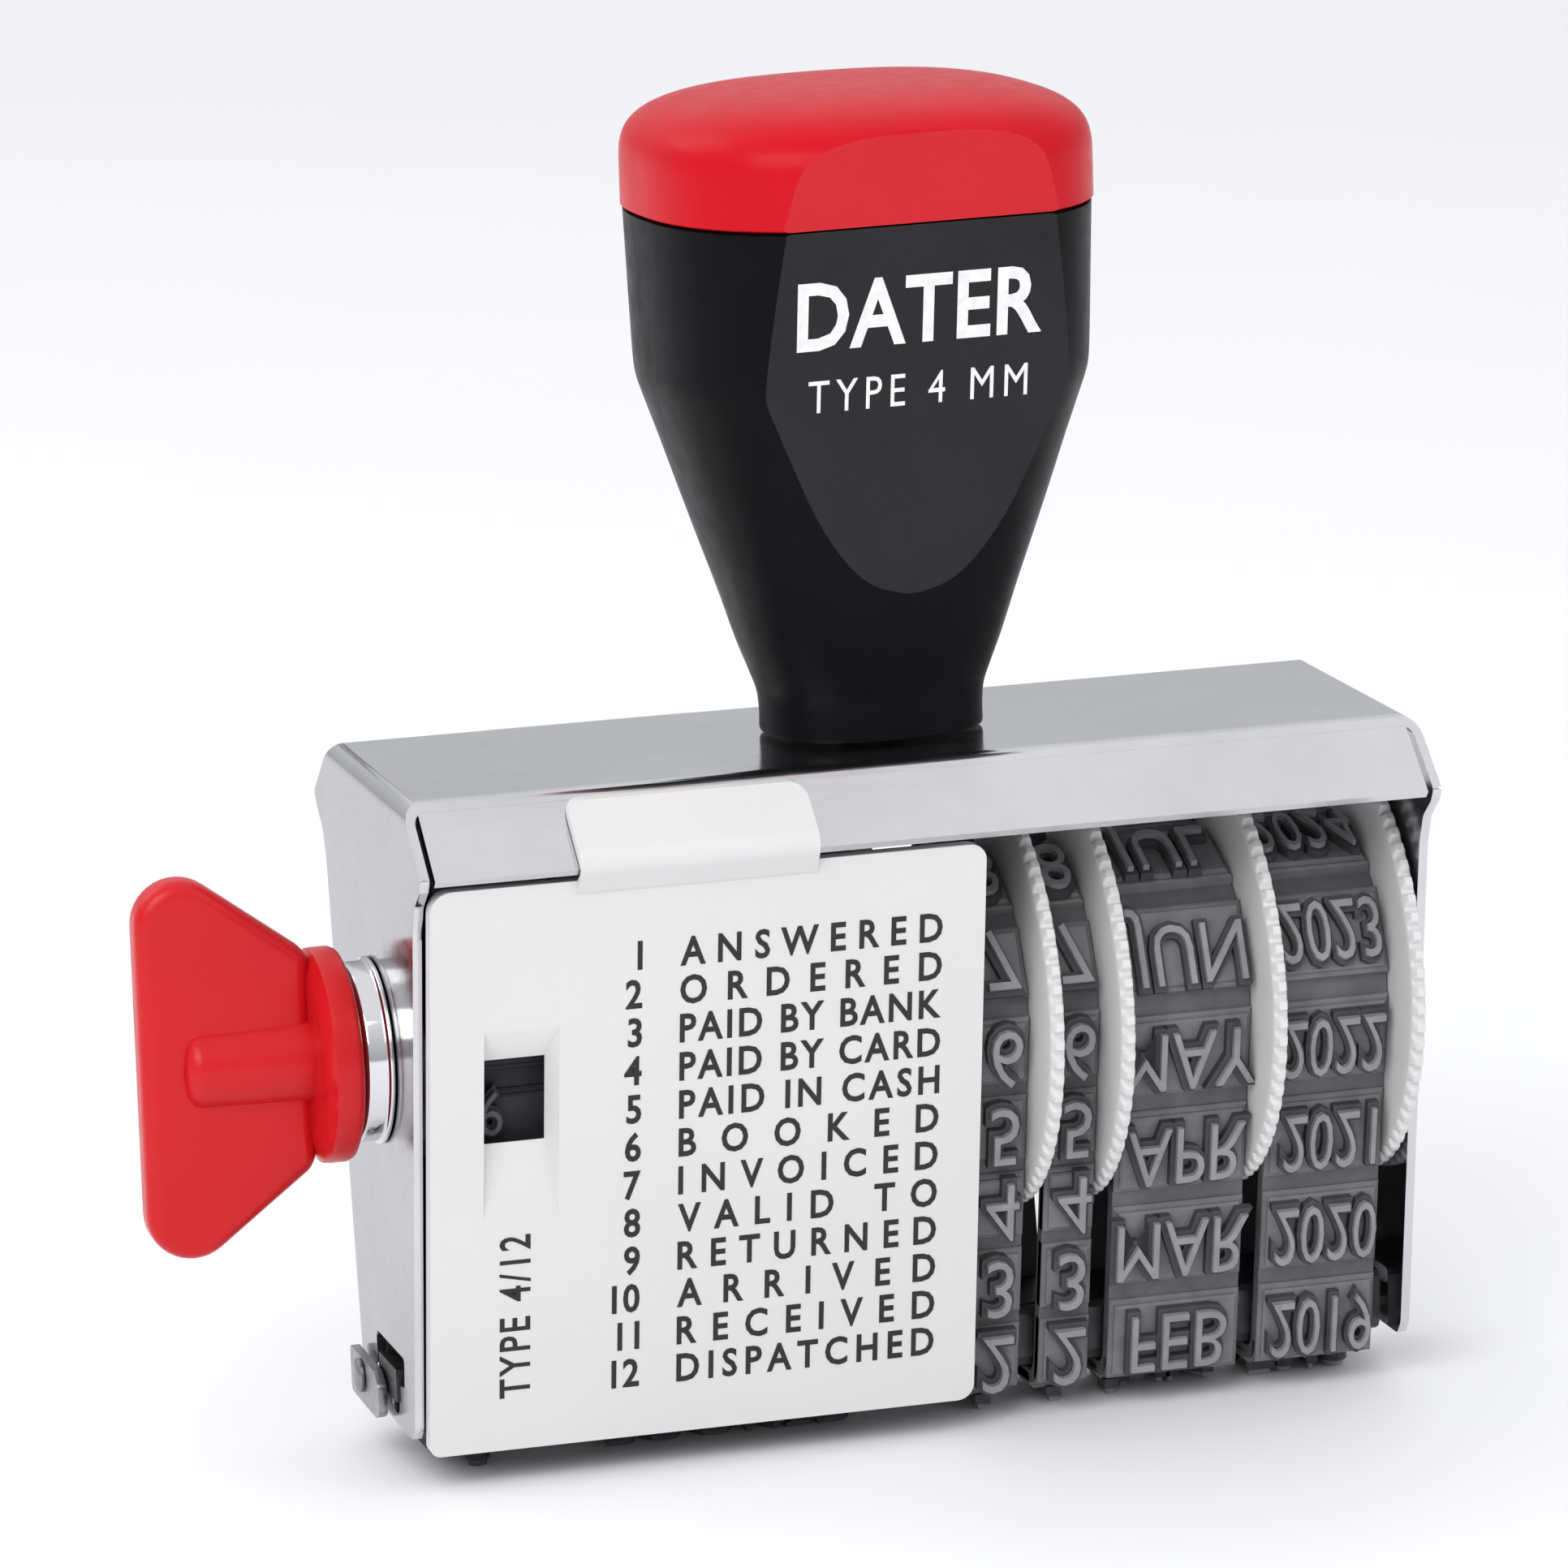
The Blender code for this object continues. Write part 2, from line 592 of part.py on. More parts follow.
def build_handle(parts, cutters, black, red, steel, zinc):
    rows = ((0.0, 7.4, 5.7, 2.6), (0.6, 7.25, 5.5, 2.5), (2.3, 7.3, 5.5, 2.5), (3.6, 7.8, 5.9, 2.5),
            (6.0, 8.8, 6.9, 2.5), (9.5, 10.0, 8.3, 2.5), (13.5, 11.4, 9.8, 2.6), (17.5, 12.8, 11.3, 2.6),
            (21.0, 14.0, 12.6, 2.6), (22.6, 14.5, 13.2, 2.6), (24.6, 14.85, 13.6, 2.6),
            (28.0, 15.0, 13.8, 2.6), (HANDLE_TOP - HANDLE_BASE, 15.2, 14.0, 2.6))
    body = loft_mesh("handle_body", [rounded_section(x, y, p, HANDLE_BASE + z) for z, x, y, p in rows])
    handle = make_object("handle_body", body, parts, (0.0, 0.0, HANDLE_BASE), black, smooth=True)
    low = HANDLE_BASE + 1.2
    high = HANDLE_TOP + 4.0
    boolean(handle, flat_tool("cut_body_front", -1, low, high, cutters), "DIFFERENCE")
    boolean(handle, flat_tool("cut_body_back", 1, low, high, cutters), "DIFFERENCE")
    bore = rod_mesh("cut_screw_bore", SCREW_RADIUS + 0.2, HANDLE_BASE - 4.0, SCREW_TOP + 0.6, ALONG_Z, 24)
    boolean(handle, tool_object(bore, cutters), "DIFFERENCE")
    socket = rod_mesh("cut_peg_socket", PEG_RADIUS + 0.2, PEG_BOTTOM - 0.6, HANDLE_TOP + 3.0, ALONG_Z, 24)
    boolean(handle, tool_object(socket, cutters), "DIFFERENCE")
    rows = ((0.0, 15.25, 14.0, 2.6), (3.3, 15.25, 14.0, 2.6), (4.9, 15.0, 13.75, 2.6), (6.2, 14.3, 13.0, 2.6),
            (7.3, 13.0, 11.7, 2.6), (8.0, 11.2, 9.9, 2.6), (CAP_TOP - CAP_BASE, 9.0, 7.7, 2.6))
    top = loft_mesh("handle_cap", [rounded_section(x, y, p, CAP_BASE + z) for z, x, y, p in rows])
    cap = make_object("handle_cap", top, parts, (0.0, 0.0, CAP_BASE), red, smooth=True)
    boolean(cap, flat_tool("cut_cap_front", -1, CAP_BASE - 6.0, CAP_TOP + 4.0, cutters), "DIFFERENCE")
    boolean(cap, flat_tool("cut_cap_back", 1, CAP_BASE - 6.0, CAP_TOP + 4.0, cutters), "DIFFERENCE")
    peg = rod_mesh("add_peg", PEG_RADIUS, PEG_BOTTOM, CAP_BASE + 1.9, ALONG_Z, 24)
    boolean(cap, tool_object(peg, cutters), "UNION")
    head = FRAME_TOP - SHEET - 1.2
    profile = [(0.0, SCREW_TOP), (1.2, SCREW_TOP), (SCREW_RADIUS, SCREW_TOP - 1.0), (SCREW_RADIUS, head),
               (3.4, head), (3.4, head - 1.2), (2.9, head - 1.8), (0.0, head - 1.8)]
    turned("handle_screw", profile, 24, parts, (0.0, 0.0, 0.0), steel, lying=False)
    washer_top = FRAME_TOP - SHEET - 0.3
    profile = [(4.4, washer_top), (4.4, washer_top - 0.6), (2.15, washer_top - 0.6), (2.15, washer_top)]
    turned("handle_washer", profile, 32, parts, (0.0, 0.0, 0.0), zinc, lying=False, closed=True)


def main():
    clear_scene()
    parts = make_collection("rotary_date_stamp")
    cutters = make_collection("cutters")
    chrome = make_material("frame_chrome", (0.78, 0.79, 0.81), 0.12, 1.0)
    collar = make_material("collar_chrome", (0.80, 0.81, 0.83), 0.10, 1.0)
    steel = make_material("plain_steel", (0.56, 0.57, 0.58), 0.30, 1.0)
    zinc = make_material("zinc_steel", (0.62, 0.63, 0.64), 0.35, 1.0)
    black = make_material("handle_black", (0.016, 0.016, 0.018), 0.38)
    cap_red = make_material("cap_red", (0.66, 0.03, 0.035), 0.34)
    knob_red = make_material("knob_red", (0.64, 0.02, 0.022), 0.32)
    white = make_material("cover_white", (0.80, 0.79, 0.77), 0.42)
    wheel_white = make_material("wheel_white", (0.83, 0.83, 0.82), 0.40)
    rubber = make_material("band_rubber", (0.20, 0.20, 0.205), 0.72)
    build_frame(parts, cutters, chrome)
    build_handle(parts, cutters, black, cap_red, steel, zinc)
    build_axle(parts, steel)
    build_drum(parts, cutters, wheel_white)
    build_wheel("wheel_day_tens", DAY_TENS_BAND, DAY_TENS_DISC, parts, cutters, wheel_white)
    build_wheel("wheel_day_units", DAY_UNITS_BAND, DAY_UNITS_DISC, parts, cutters, wheel_white)
    build_wheel("wheel_month", MONTH_BAND, MONTH_DISC, parts, cutters, wheel_white)
    build_wheel("wheel_year", YEAR_BAND, YEAR_DISC, parts, cutters, wheel_white)
    build_bands(parts, rubber)
    build_knob(parts, cutters, knob_red, collar)
    build_bridge(parts, cutters, steel)
    build_clips(parts, cutters, steel)
    build_cover("front_cover", -1, True, parts, cutters, white)
    build_cover("rear_cover", 1, False, parts, cutters, white)


main()
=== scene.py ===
"""Looks of the rotary date stamp: steel frame, printed covers, toothed wheels, type bands, handle and knob.

Shapes are worked out in millimetres in the frame's own axes: X along the stamp with the wing knob at -X,
-Y is the legend side, +Z is up, and the print face is at Z = 0.
"""

import json
import math
from contextlib import contextmanager

import bmesh
import bpy
from mathutils import Matrix, Vector

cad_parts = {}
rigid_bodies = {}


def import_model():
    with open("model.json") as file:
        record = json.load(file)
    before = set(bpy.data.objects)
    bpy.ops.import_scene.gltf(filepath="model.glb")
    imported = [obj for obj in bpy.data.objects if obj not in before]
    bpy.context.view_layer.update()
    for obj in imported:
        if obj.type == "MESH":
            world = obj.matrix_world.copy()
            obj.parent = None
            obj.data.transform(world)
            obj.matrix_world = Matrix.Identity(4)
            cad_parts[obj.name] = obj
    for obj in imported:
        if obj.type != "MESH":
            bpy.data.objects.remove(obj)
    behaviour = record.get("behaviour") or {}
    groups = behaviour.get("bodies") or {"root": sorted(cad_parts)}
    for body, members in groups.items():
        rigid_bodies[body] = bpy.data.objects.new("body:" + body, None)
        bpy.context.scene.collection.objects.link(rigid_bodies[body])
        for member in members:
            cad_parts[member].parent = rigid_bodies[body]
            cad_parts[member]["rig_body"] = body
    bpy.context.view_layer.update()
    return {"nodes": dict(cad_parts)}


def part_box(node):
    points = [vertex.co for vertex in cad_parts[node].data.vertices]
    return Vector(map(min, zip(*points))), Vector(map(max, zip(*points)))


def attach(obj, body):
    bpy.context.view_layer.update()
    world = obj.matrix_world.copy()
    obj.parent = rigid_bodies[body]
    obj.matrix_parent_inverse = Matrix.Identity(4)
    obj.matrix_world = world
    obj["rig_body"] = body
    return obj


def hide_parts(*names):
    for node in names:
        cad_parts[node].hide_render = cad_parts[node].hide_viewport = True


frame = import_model()

MM = 0.001


def box_mm(node):
    low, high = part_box(node)
    return low / MM, high / MM


# Places read from the frame
FRAME_LOW, FRAME_HIGH = box_mm("frame")
AXLE_LOW, AXLE_HIGH = box_mm("axle")
COVER_LOW, COVER_HIGH = box_mm("front_cover")
HANDLE_LOW, HANDLE_HIGH = box_mm("handle_body")
CAP_HIGH = box_mm("handle_cap")[1]
KNOB_LOW, KNOB_HIGH = box_mm("knob")
COLLAR_LOW = box_mm("knob_collar")[0]

HALF_LENGTH = FRAME_HIGH.x
FRAME_TOP = FRAME_HIGH.z
FRAME_BOTTOM = FRAME_LOW.z
SHOULDER_HALF_DEPTH = FRAME_HIGH.y
AXLE_Z = (AXLE_LOW.z + AXLE_HIGH.z) / 2

# Reaches for cuts: past the whole stamp along Y and along X, and through one end plate
ACROSS = (-20.0, 20.0)
LENGTHWISE = (-40.0, 40.0)
LEFT_PLATE = (-36.0, -32.0)
RIGHT_PLATE = (32.0, 36.0)

# Frame sheet
SHEET = 0.6
TOP_HALF_DEPTH = 10.1
SHOULDER_EDGE_Z = FRAME_TOP - 4.2
BEND_RADIUS = 1.5
END_BEND_RADIUS = 1.3
BEND_STEPS = 8
SLIT = 0.35
NECK_HOLE_RADIUS = 3.75

# Covers
COVER_THICKNESS = 1.2
COVER_TOP = FRAME_TOP - 5.1
COVER_BOTTOM = COVER_LOW.z
COVER_TOP_DEPTH = 14.2
COVER_BOTTOM_DEPTH = 8.0
COVER_CORNER = 1.1
TAB = (-23.7, -8.0)
# Left, right, low and high
WINDOW_OPENING = (-29.7, -25.5, 23.4, 29.1)
WINDOW_RIM = (-29.75, -24.8, 18.6, 31.3)
INK_THICKNESS = 0.02

# Bands and wheels; a loop is its radius over the hub and its number of places
DATE_LOOP = (8.4, 13)
DAY_LOOP = (8.4, 16)
PHRASE_LOOP = (7.4, 13)
BELT_THICKNESS = 0.9
TYPE_HEIGHT = 1.6
PAD_SHARE = 0.84
BRIDGE_HALF_WIDTH = 4.1
BRIDGE_CORNER = 1.0
CAPITAL_HEIGHT = 4.0
NUMBER_HEIGHT = 3.0
NUMBER_X = -28.75
NUMBER_LIFT = 1.6
PHRASE_SHOWN = 6
DAY_PHASE = 0.8
DATE_PHASE = -0.15
WHEEL_RADIUS = 14.2
TOOTH_DEPTH = 0.5
TEETH = 72
RIM_WIDTH = 0.95
HUB_RADIUS = 7.6
AXLE_BORE = 1.62
# Turned solids end in a tiny face of this radius
AXIS_GAP = 0.02

# Handle
HANDLE_TURN = 4.2
GRIP_POWER = 2.5
GRIP_HALF_WIDTH = 14.65
GRIP_HALF_DEPTH = 13.7
CAP_LIP = 0.12
SEAM_RISE = 0.55
SEAM_HALF = (12.0, 10.8)
SIDE_POINTS = 64
FLAT_POINTS = 40
FLAT_LOW_Z = 55.3
FLAT_LOW_DEPTH = 8.2
FLAT_TOP_DEPTH = 13.0
FLAT_SLOPE = (FLAT_TOP_DEPTH - FLAT_LOW_DEPTH) / (CAP_HIGH.z - FLAT_LOW_Z)

# Knob
WING_HALF_THICKNESS = 1.5
WING_TIP = 15.5
BOSS_RADIUS = 2.8
RING_RADIUS = 7.0

PHRASES = ("ANSWERED", "ORDERED", "PAID BY BANK", "PAID BY CARD", "PAID IN CASH", "BOOKED",
           "INVOICED", "VALID TO", "RETURNED", "ARRIVED", "RECEIVED", "DISPATCHED")
MONTHS = ("JAN", "FEB", "MAR", "APR", "MAY", "JUN", "JUL", "AUG", "SEP", "OCT", "NOV", "DEC", "")
FIRST_YEAR = 2018


# Mesh helpers

@contextmanager
def editing(mesh):
    """Open a mesh for bmesh work and write the result back."""
    work = bmesh.new()
    work.from_mesh(mesh)
    yield work
    work.to_mesh(mesh)
    work.free()


def mesh_from(name, vertices, faces):
    """A mesh in metres from vertices in mm."""
    mesh = bpy.data.meshes.new(name)
    mesh.from_pydata([Vector(v) * MM for v in vertices], [], faces)
    with editing(mesh) as work:
        bmesh.ops.recalc_face_normals(work, faces=work.faces)
    return mesh


def rounded(corners, steps=6):
    """A closed outline through (a, b, radius) corners, each turned by a true arc."""
    outline = []
    for index, (a, b, radius) in enumerate(corners):
        here = Vector((a, b))
        back = (Vector(corners[index - 1][:2]) - here).normalized()
        ahead = (Vector(corners[(index + 1) % len(corners)][:2]) - here).normalized()
        half = math.acos(max(-1.0, min(1.0, back.dot(ahead)))) / 2
        if radius <= 0 or half > math.radians(89):
            outline.append((a, b))
            continue
        reach = radius / math.tan(half)
        centre = here + (back + ahead).normalized() * (radius / math.sin(half))
        first = here + back * reach - centre
        last = here + ahead * reach - centre
        start = math.atan2(first.y, first.x)
        turn = math.remainder(math.atan2(last.y, last.x) - start, 2 * math.pi)
        for step in range(steps + 1):
            angle = start + turn * step / steps
            outline.append((centre.x + radius * math.cos(angle), centre.y + radius * math.sin(angle)))
    return outline


def circle(radius, count, centre=(0.0, 0.0)):
    return [(centre[0] + radius * math.cos(2 * math.pi * i / count),
             centre[1] + radius * math.sin(2 * math.pi * i / count)) for i in range(count)]


def strip(points, radius):
    """Closed outline of bent sheet: an open outer line, its inner parallel, and arcs at the bends."""
    line = [Vector(p) for p in points]
    normals = []
    for a, b in zip(line, line[1:]):
        along = (b - a).normalized()
        normals.append(Vector((-along.y, along.x)))
    inner = []
    for index, here in enumerate(line):
        before = normals[max(0, index - 1)]
        after = normals[min(len(normals) - 1, index)]
        middle = (before + after).normalized()
        inner.append(here + middle * (SHEET / middle.dot(after)))
    last = len(line) - 1
    corners = [(p.x, p.y, radius if 0 < i < last else 0.0) for i, p in enumerate(line)]
    corners += [(p.x, p.y, max(0.0, radius - SHEET) if 0 < i < last else 0.0)
                for i, p in reversed(list(enumerate(inner)))]
    return rounded(corners, BEND_STEPS)


# Turns that run an outline's third axis along +X and along -Y
ALONG_X = Matrix(((0, 0, 1, 0), (1, 0, 0, 0), (0, 1, 0, 0), (0, 0, 0, 1)))
ALONG_Y = Matrix(((1, 0, 0, 0), (0, 0, -1, 0), (0, 1, 0, 0), (0, 0, 0, 1)))


def prism(name, loops, low, high, turn):
    """A flat outline, with any inner loops as holes, run from low to high along an axis."""
    curve = bpy.data.curves.new(name, "CURVE")
    curve.dimensions = "2D"
    curve.fill_mode = "BOTH"
    curve.extrude = (high - low) / 2
    for loop in loops:
        spline = curve.splines.new("POLY")
        spline.points.add(len(loop) - 1)
        for point, (a, b) in zip(spline.points, loop):
            point.co = (a, b, 0.0, 1.0)
        spline.use_cyclic_u = True
    mesh = mesh_of_curve(curve)
    middle = (low + high) / 2
    # ALONG_Y runs towards -Y
    if turn is ALONG_Y:
        middle = -middle
    mesh.transform(Matrix.Scale(MM, 4) @ turn @ Matrix.Translation((0.0, 0.0, middle)))
    with editing(mesh) as work:
        bmesh.ops.remove_doubles(work, verts=work.verts, dist=2e-7)
        bmesh.ops.recalc_face_normals(work, faces=work.faces)
    return mesh


def mesh_of_curve(curve):
    holder = bpy.data.objects.new("holder", curve)
    bpy.context.scene.collection.objects.link(holder)
    graph = bpy.context.evaluated_depsgraph_get()
    mesh = bpy.data.meshes.new_from_object(holder.evaluated_get(graph))
    bpy.data.objects.remove(holder, do_unlink=True)
    bpy.data.curves.remove(curve)
    return mesh


def grid(name, rings, closed=False):
    """Skin rings of equal length into one surface; closed joins the last ring to the first."""
    count = len(rings[0])
    vertices = [point for ring in rings for point in ring]
    faces = []
    pairs = len(rings) if closed else len(rings) - 1
    for row in range(pairs):
        a = row * count
        b = ((row + 1) % len(rings)) * count
        for i in range(count):
            j = (i + 1) % count
            faces.append((a + i, a + j, b + j, b + i))
    if not closed:
        faces.append(tuple(range(count)))
        faces.append(tuple(range((len(rings) - 1) * count, len(rings) * count)))
    return mesh_from(name, vertices, faces)


def lathe(name, profile, steps, closed=False, wave=None, centre=(0.0, AXLE_Z)):
    """Turn a profile of (x, radius) about a line along X; wave changes the radius by angle."""
    rings = []
    for x, radius in profile:
        ring = []
        for i in range(steps):
            angle = 2 * math.pi * i / steps
            r = radius if wave is None else radius + wave(radius, angle)
            ring.append((x, centre[0] + r * math.cos(angle), centre[1] + r * math.sin(angle)))
        rings.append(ring)
    return grid(name, rings, closed)


def solid(mesh):
    item = bpy.data.objects.new(mesh.name, mesh)
    bpy.context.scene.collection.objects.link(item)
    return item


def apply_modifiers(item):
    graph = bpy.context.evaluated_depsgraph_get()
    mesh = bpy.data.meshes.new_from_object(item.evaluated_get(graph))
    item.modifiers.clear()
    item.data = mesh


def combine(item, mesh, operation):
    """Cut, join or keep the overlap of an item and one more mesh, which is used up."""
    tool = solid(mesh)
    step = item.modifiers.new(operation, "BOOLEAN")
    step.operation = operation
    step.solver = "EXACT"
    step.object = tool
    apply_modifiers(item)
    bpy.data.objects.remove(tool, do_unlink=True)


def soften(item, width, segments, angle=38.0):
    """Merge the flat faces of a made item and round its sharp edges a little."""
    with editing(item.data) as work:
        bmesh.ops.remove_doubles(work, verts=work.verts, dist=1e-6)
        bmesh.ops.dissolve_limit(work, angle_limit=math.radians(0.4), verts=work.verts, edges=work.edges)
    step = item.modifiers.new("edges", "BEVEL")
    step.width = width * MM
    step.segments = segments
    step.limit_method = "ANGLE"
    step.angle_limit = math.radians(angle)
    step.use_clamp_overlap = True
    step.miter_outer = "MITER_SHARP"
    apply_modifiers(item)


def piece(name, mesh, materials, node_name, smooth_below=35.0, detail=False):
    """A finished piece: shaded, painted, and tied to the body of the CAD node it stands for.

    A detail, such as print or type, lies on that node's piece and replaces nothing.
    """
    if isinstance(mesh, bpy.types.Object):
        item = mesh
        item.data.name = name
    else:
        item = solid(mesh)
    item.name = name
    for material in materials:
        item.data.materials.append(material)
    item.data.polygons.foreach_set("use_smooth", [True] * len(item.data.polygons))
    item.data.set_sharp_from_angle(angle=math.radians(smooth_below))
    if not detail:
        step = item.modifiers.new("normals", "WEIGHTED_NORMAL")
        step.keep_sharp = True
    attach(item, frame["nodes"][node_name]["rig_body"])
    if not detail:
        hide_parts(node_name)
    return item


# Lettering

WIDE_SPACING = 1.5
LEAST_SPACING = 0.92


def text_mesh(text, weight=0.0, spacing=1.0, bevel=0.0):
    curve = bpy.data.curves.new("lettering", "FONT")
    curve.body = text
    curve.size = 1.0
    curve.space_character = spacing
    curve.offset = weight
    curve.resolution_u = 3
    curve.extrude = 0.5
    curve.bevel_depth = bevel
    curve.bevel_resolution = 0
    return mesh_of_curve(curve)


def extent(mesh, axis):
    values = [v.co[axis] for v in mesh.vertices]
    return min(values), max(values)


CAPITAL = extent(text_mesh("H"), 1)[1]


def lettering(text, height, thickness, width, narrow, weight, bevel=0.0):
    """Raised text in mm, from its left end on the baseline; a width spreads the letters to fit it."""
    scale = height / CAPITAL
    spacing = 1.0
    if width is not None and len(text) > 1:
        low, high = extent(text_mesh(text, weight), 0)
        low_wide, high_wide = extent(text_mesh(text, weight, WIDE_SPACING), 0)
        tight = (high - low) * scale * narrow
        wide = (high_wide - low_wide) * scale * narrow
        spacing = 1.0 + (WIDE_SPACING - 1.0) * (width - tight) / (wide - tight)
        if spacing < LEAST_SPACING:
            narrow *= width / (tight - (1.0 - LEAST_SPACING) / (WIDE_SPACING - 1.0) * (wide - tight))
            spacing = LEAST_SPACING
    mesh = text_mesh(text, weight, spacing, bevel)
    left = extent(mesh, 0)[0]
    low_z, high_z = extent(mesh, 2)
    mesh.transform(Matrix.Diagonal((scale * narrow, scale, thickness / (high_z - low_z), 1.0))
                   @ Matrix.Translation((-left, 0.0, -low_z)))
    return mesh


def placed(mesh, origin, right, up, out):
    """Move text in mm to a place in the frame, in metres, and turn it inside out if it is mirrored."""
    axes = Matrix((right, up, out)).transposed().to_4x4()
    mesh.transform(Matrix.Scale(MM, 4) @ Matrix.Translation(origin) @ axes)
    if axes.determinant() < 0:
        mesh.flip_normals()
    return mesh


def joined(name, meshes):
    work = bmesh.new()
    for mesh in meshes:
        work.from_mesh(mesh)
        bpy.data.meshes.remove(mesh)
    result = bpy.data.meshes.new(name)
    work.to_mesh(result)
    work.free()
    return result


# Materials

def node(tree, kind, **values):
    made = tree.nodes.new(kind)
    for name, value in values.items():
        if name in made.inputs:
            made.inputs[name].default_value = value
        else:
            setattr(made, name, value)
    return made


def base_material(name, colour, roughness, metallic=0.0, specular=0.5):
    material = bpy.data.materials.new(name)
    material.use_nodes = True
    shader = material.node_tree.nodes["Principled BSDF"]
    shader.inputs["Base Color"].default_value = (*colour, 1.0)
    shader.inputs["Roughness"].default_value = roughness
    shader.inputs["Metallic"].default_value = metallic
    shader.inputs["Specular IOR Level"].default_value = specular
    return material, material.node_tree, shader


def noise(tree, scale, detail=3.0, rough=0.55, stretch=(1.0, 1.0, 1.0)):
    """Noise in the object's own space; scale is in patches per millimetre."""
    place = node(tree, "ShaderNodeTexCoord")
    spread = node(tree, "ShaderNodeMapping")
    spread.inputs["Scale"].default_value = [value * scale / MM for value in stretch]
    tree.links.new(place.outputs["Object"], spread.inputs["Vector"])
    made = node(tree, "ShaderNodeTexNoise", Scale=1.0, Detail=detail, Roughness=rough)
    tree.links.new(spread.outputs["Vector"], made.inputs["Vector"])
    return made.outputs["Fac"]


def colour_ramp(tree, fac, first, last, into):
    """A ramp between two (position, colour) ends."""
    ramp = node(tree, "ShaderNodeValToRGB")
    for element, (position, colour) in zip(ramp.color_ramp.elements, (first, last)):
        element.position = position
        element.color = (*colour, 1.0)
    tree.links.new(fac, ramp.inputs["Fac"])
    tree.links.new(ramp.outputs["Color"], into)


def spread_colour(tree, shader, fac, colour, darker, lighter):
    dark = [c * darker for c in colour]
    light = [min(1.0, c * lighter) for c in colour]
    colour_ramp(tree, fac, (0.35, dark), (0.65, light), shader.inputs["Base Color"])


def spread_roughness(tree, shader, fac, rough, smoother, rougher):
    reach = node(tree, "ShaderNodeMapRange")
    reach.inputs["From Min"].default_value = 0.3
    reach.inputs["From Max"].default_value = 0.7
    reach.inputs["To Min"].default_value = rough * smoother
    reach.inputs["To Max"].default_value = rough * rougher
    tree.links.new(fac, reach.inputs["Value"])
    tree.links.new(reach.outputs["Result"], shader.inputs["Roughness"])


def bump(tree, shader, fac, height, strength, before=None):
    """Relief in mm, laid over the relief made before it."""
    made = node(tree, "ShaderNodeBump")
    made.inputs["Distance"].default_value = height * MM
    made.inputs["Strength"].default_value = strength
    tree.links.new(fac, made.inputs["Height"])
    if before is not None:
        tree.links.new(before.outputs["Normal"], made.inputs["Normal"])
    tree.links.new(made.outputs["Normal"], shader.inputs["Normal"])
    return made


def polished_steel(name, colour, rough):
    """Rolled bright sheet: faint rolling lines along X, cloudy polish and fine marks."""
    grain = (0.25, 1.0, 1.0)
    material, tree, shader = base_material(name, colour, rough, metallic=1.0)
    clouds = noise(tree, 0.12, 4.0)
    spread_colour(tree, shader, clouds, colour, 0.95, 1.04)
    spread_roughness(tree, shader, noise(tree, 1.6, 2.0, stretch=grain), rough, 0.8, 1.35)
    ripple = bump(tree, shader, clouds, 0.012, 0.5)
    bump(tree, shader, noise(tree, 3.0, 2.0, stretch=grain), 0.0012, 0.6, ripple)
    return material


def dull_steel(name, colour, rough):
    """Pressed steel with darker patches and a fine grain."""
    material, tree, shader = base_material(name, colour, rough, metallic=1.0)
    spread_colour(tree, shader, noise(tree, 0.9, 6.0), colour, 0.78, 1.0)
    spread_roughness(tree, shader, noise(tree, 2.2, 4.0), rough, 0.8, 1.4)
    bump(tree, shader, noise(tree, 3.5, 4.0), 0.006, 0.7)
    return material


def moulded(name, colour, rough, vary, grain, grain_scale, specular, subsurface=0.0):
    """Injection moulded plastic: faint clouding of the colour by vary, and a grain of a height in mm."""
    material, tree, shader = base_material(name, colour, rough, specular=specular)
    clouds = noise(tree, 0.08, 3.0)
    spread_colour(tree, shader, clouds, colour, 1.0 - vary, 1.0 + vary)
    spread_roughness(tree, shader, noise(tree, 0.7, 4.0), rough, 0.9, 1.15)
    wave = bump(tree, shader, clouds, 0.03, 0.25)
    bump(tree, shader, noise(tree, grain_scale, 3.0, 0.65), grain, 0.8, wave)
    shader.inputs["Subsurface Weight"].default_value = subsurface
    shader.inputs["Subsurface Radius"].default_value = (1.0, 0.5, 0.4)
    shader.inputs["Subsurface Scale"].default_value = 0.0008
    return material


def rubber(name, colour, rough=0.62):
    """Vulcanised rubber: uneven grey with a dusty bloom and a fine matt grain."""
    material, tree, shader = base_material(name, colour, rough, specular=0.35)
    spread_colour(tree, shader, noise(tree, 0.5, 6.0, 0.65), colour, 0.86, 1.12)
    spread_roughness(tree, shader, noise(tree, 1.2, 4.0), rough, 0.85, 1.2)
    soft = bump(tree, shader, noise(tree, 0.6, 3.0), 0.04, 0.4)
    bump(tree, shader, noise(tree, 5.0, 3.0), 0.008, 0.7, soft)
    return material


def ink(name, colour, rough):
    """Printed ink: a thin film with a slightly uneven tone."""
    material, tree, shader = base_material(name, colour, rough)
    spread_colour(tree, shader, noise(tree, 1.5, 3.0), colour, 0.94, 1.06)
    spread_roughness(tree, shader, noise(tree, 2.0, 2.0), rough, 0.9, 1.1)
    bump(tree, shader, noise(tree, 6.0, 2.0), 0.003, 0.5)
    return material


def floor_material():
    material, tree, shader = base_material("studio_floor", (0.93, 0.935, 0.95), 0.55, specular=0.25)
    colour_ramp(tree, noise(tree, 0.01, 2.0), (0.35, (0.925, 0.93, 0.948)), (0.65, (0.935, 0.94, 0.952)),
                shader.inputs["Base Color"])
    return material


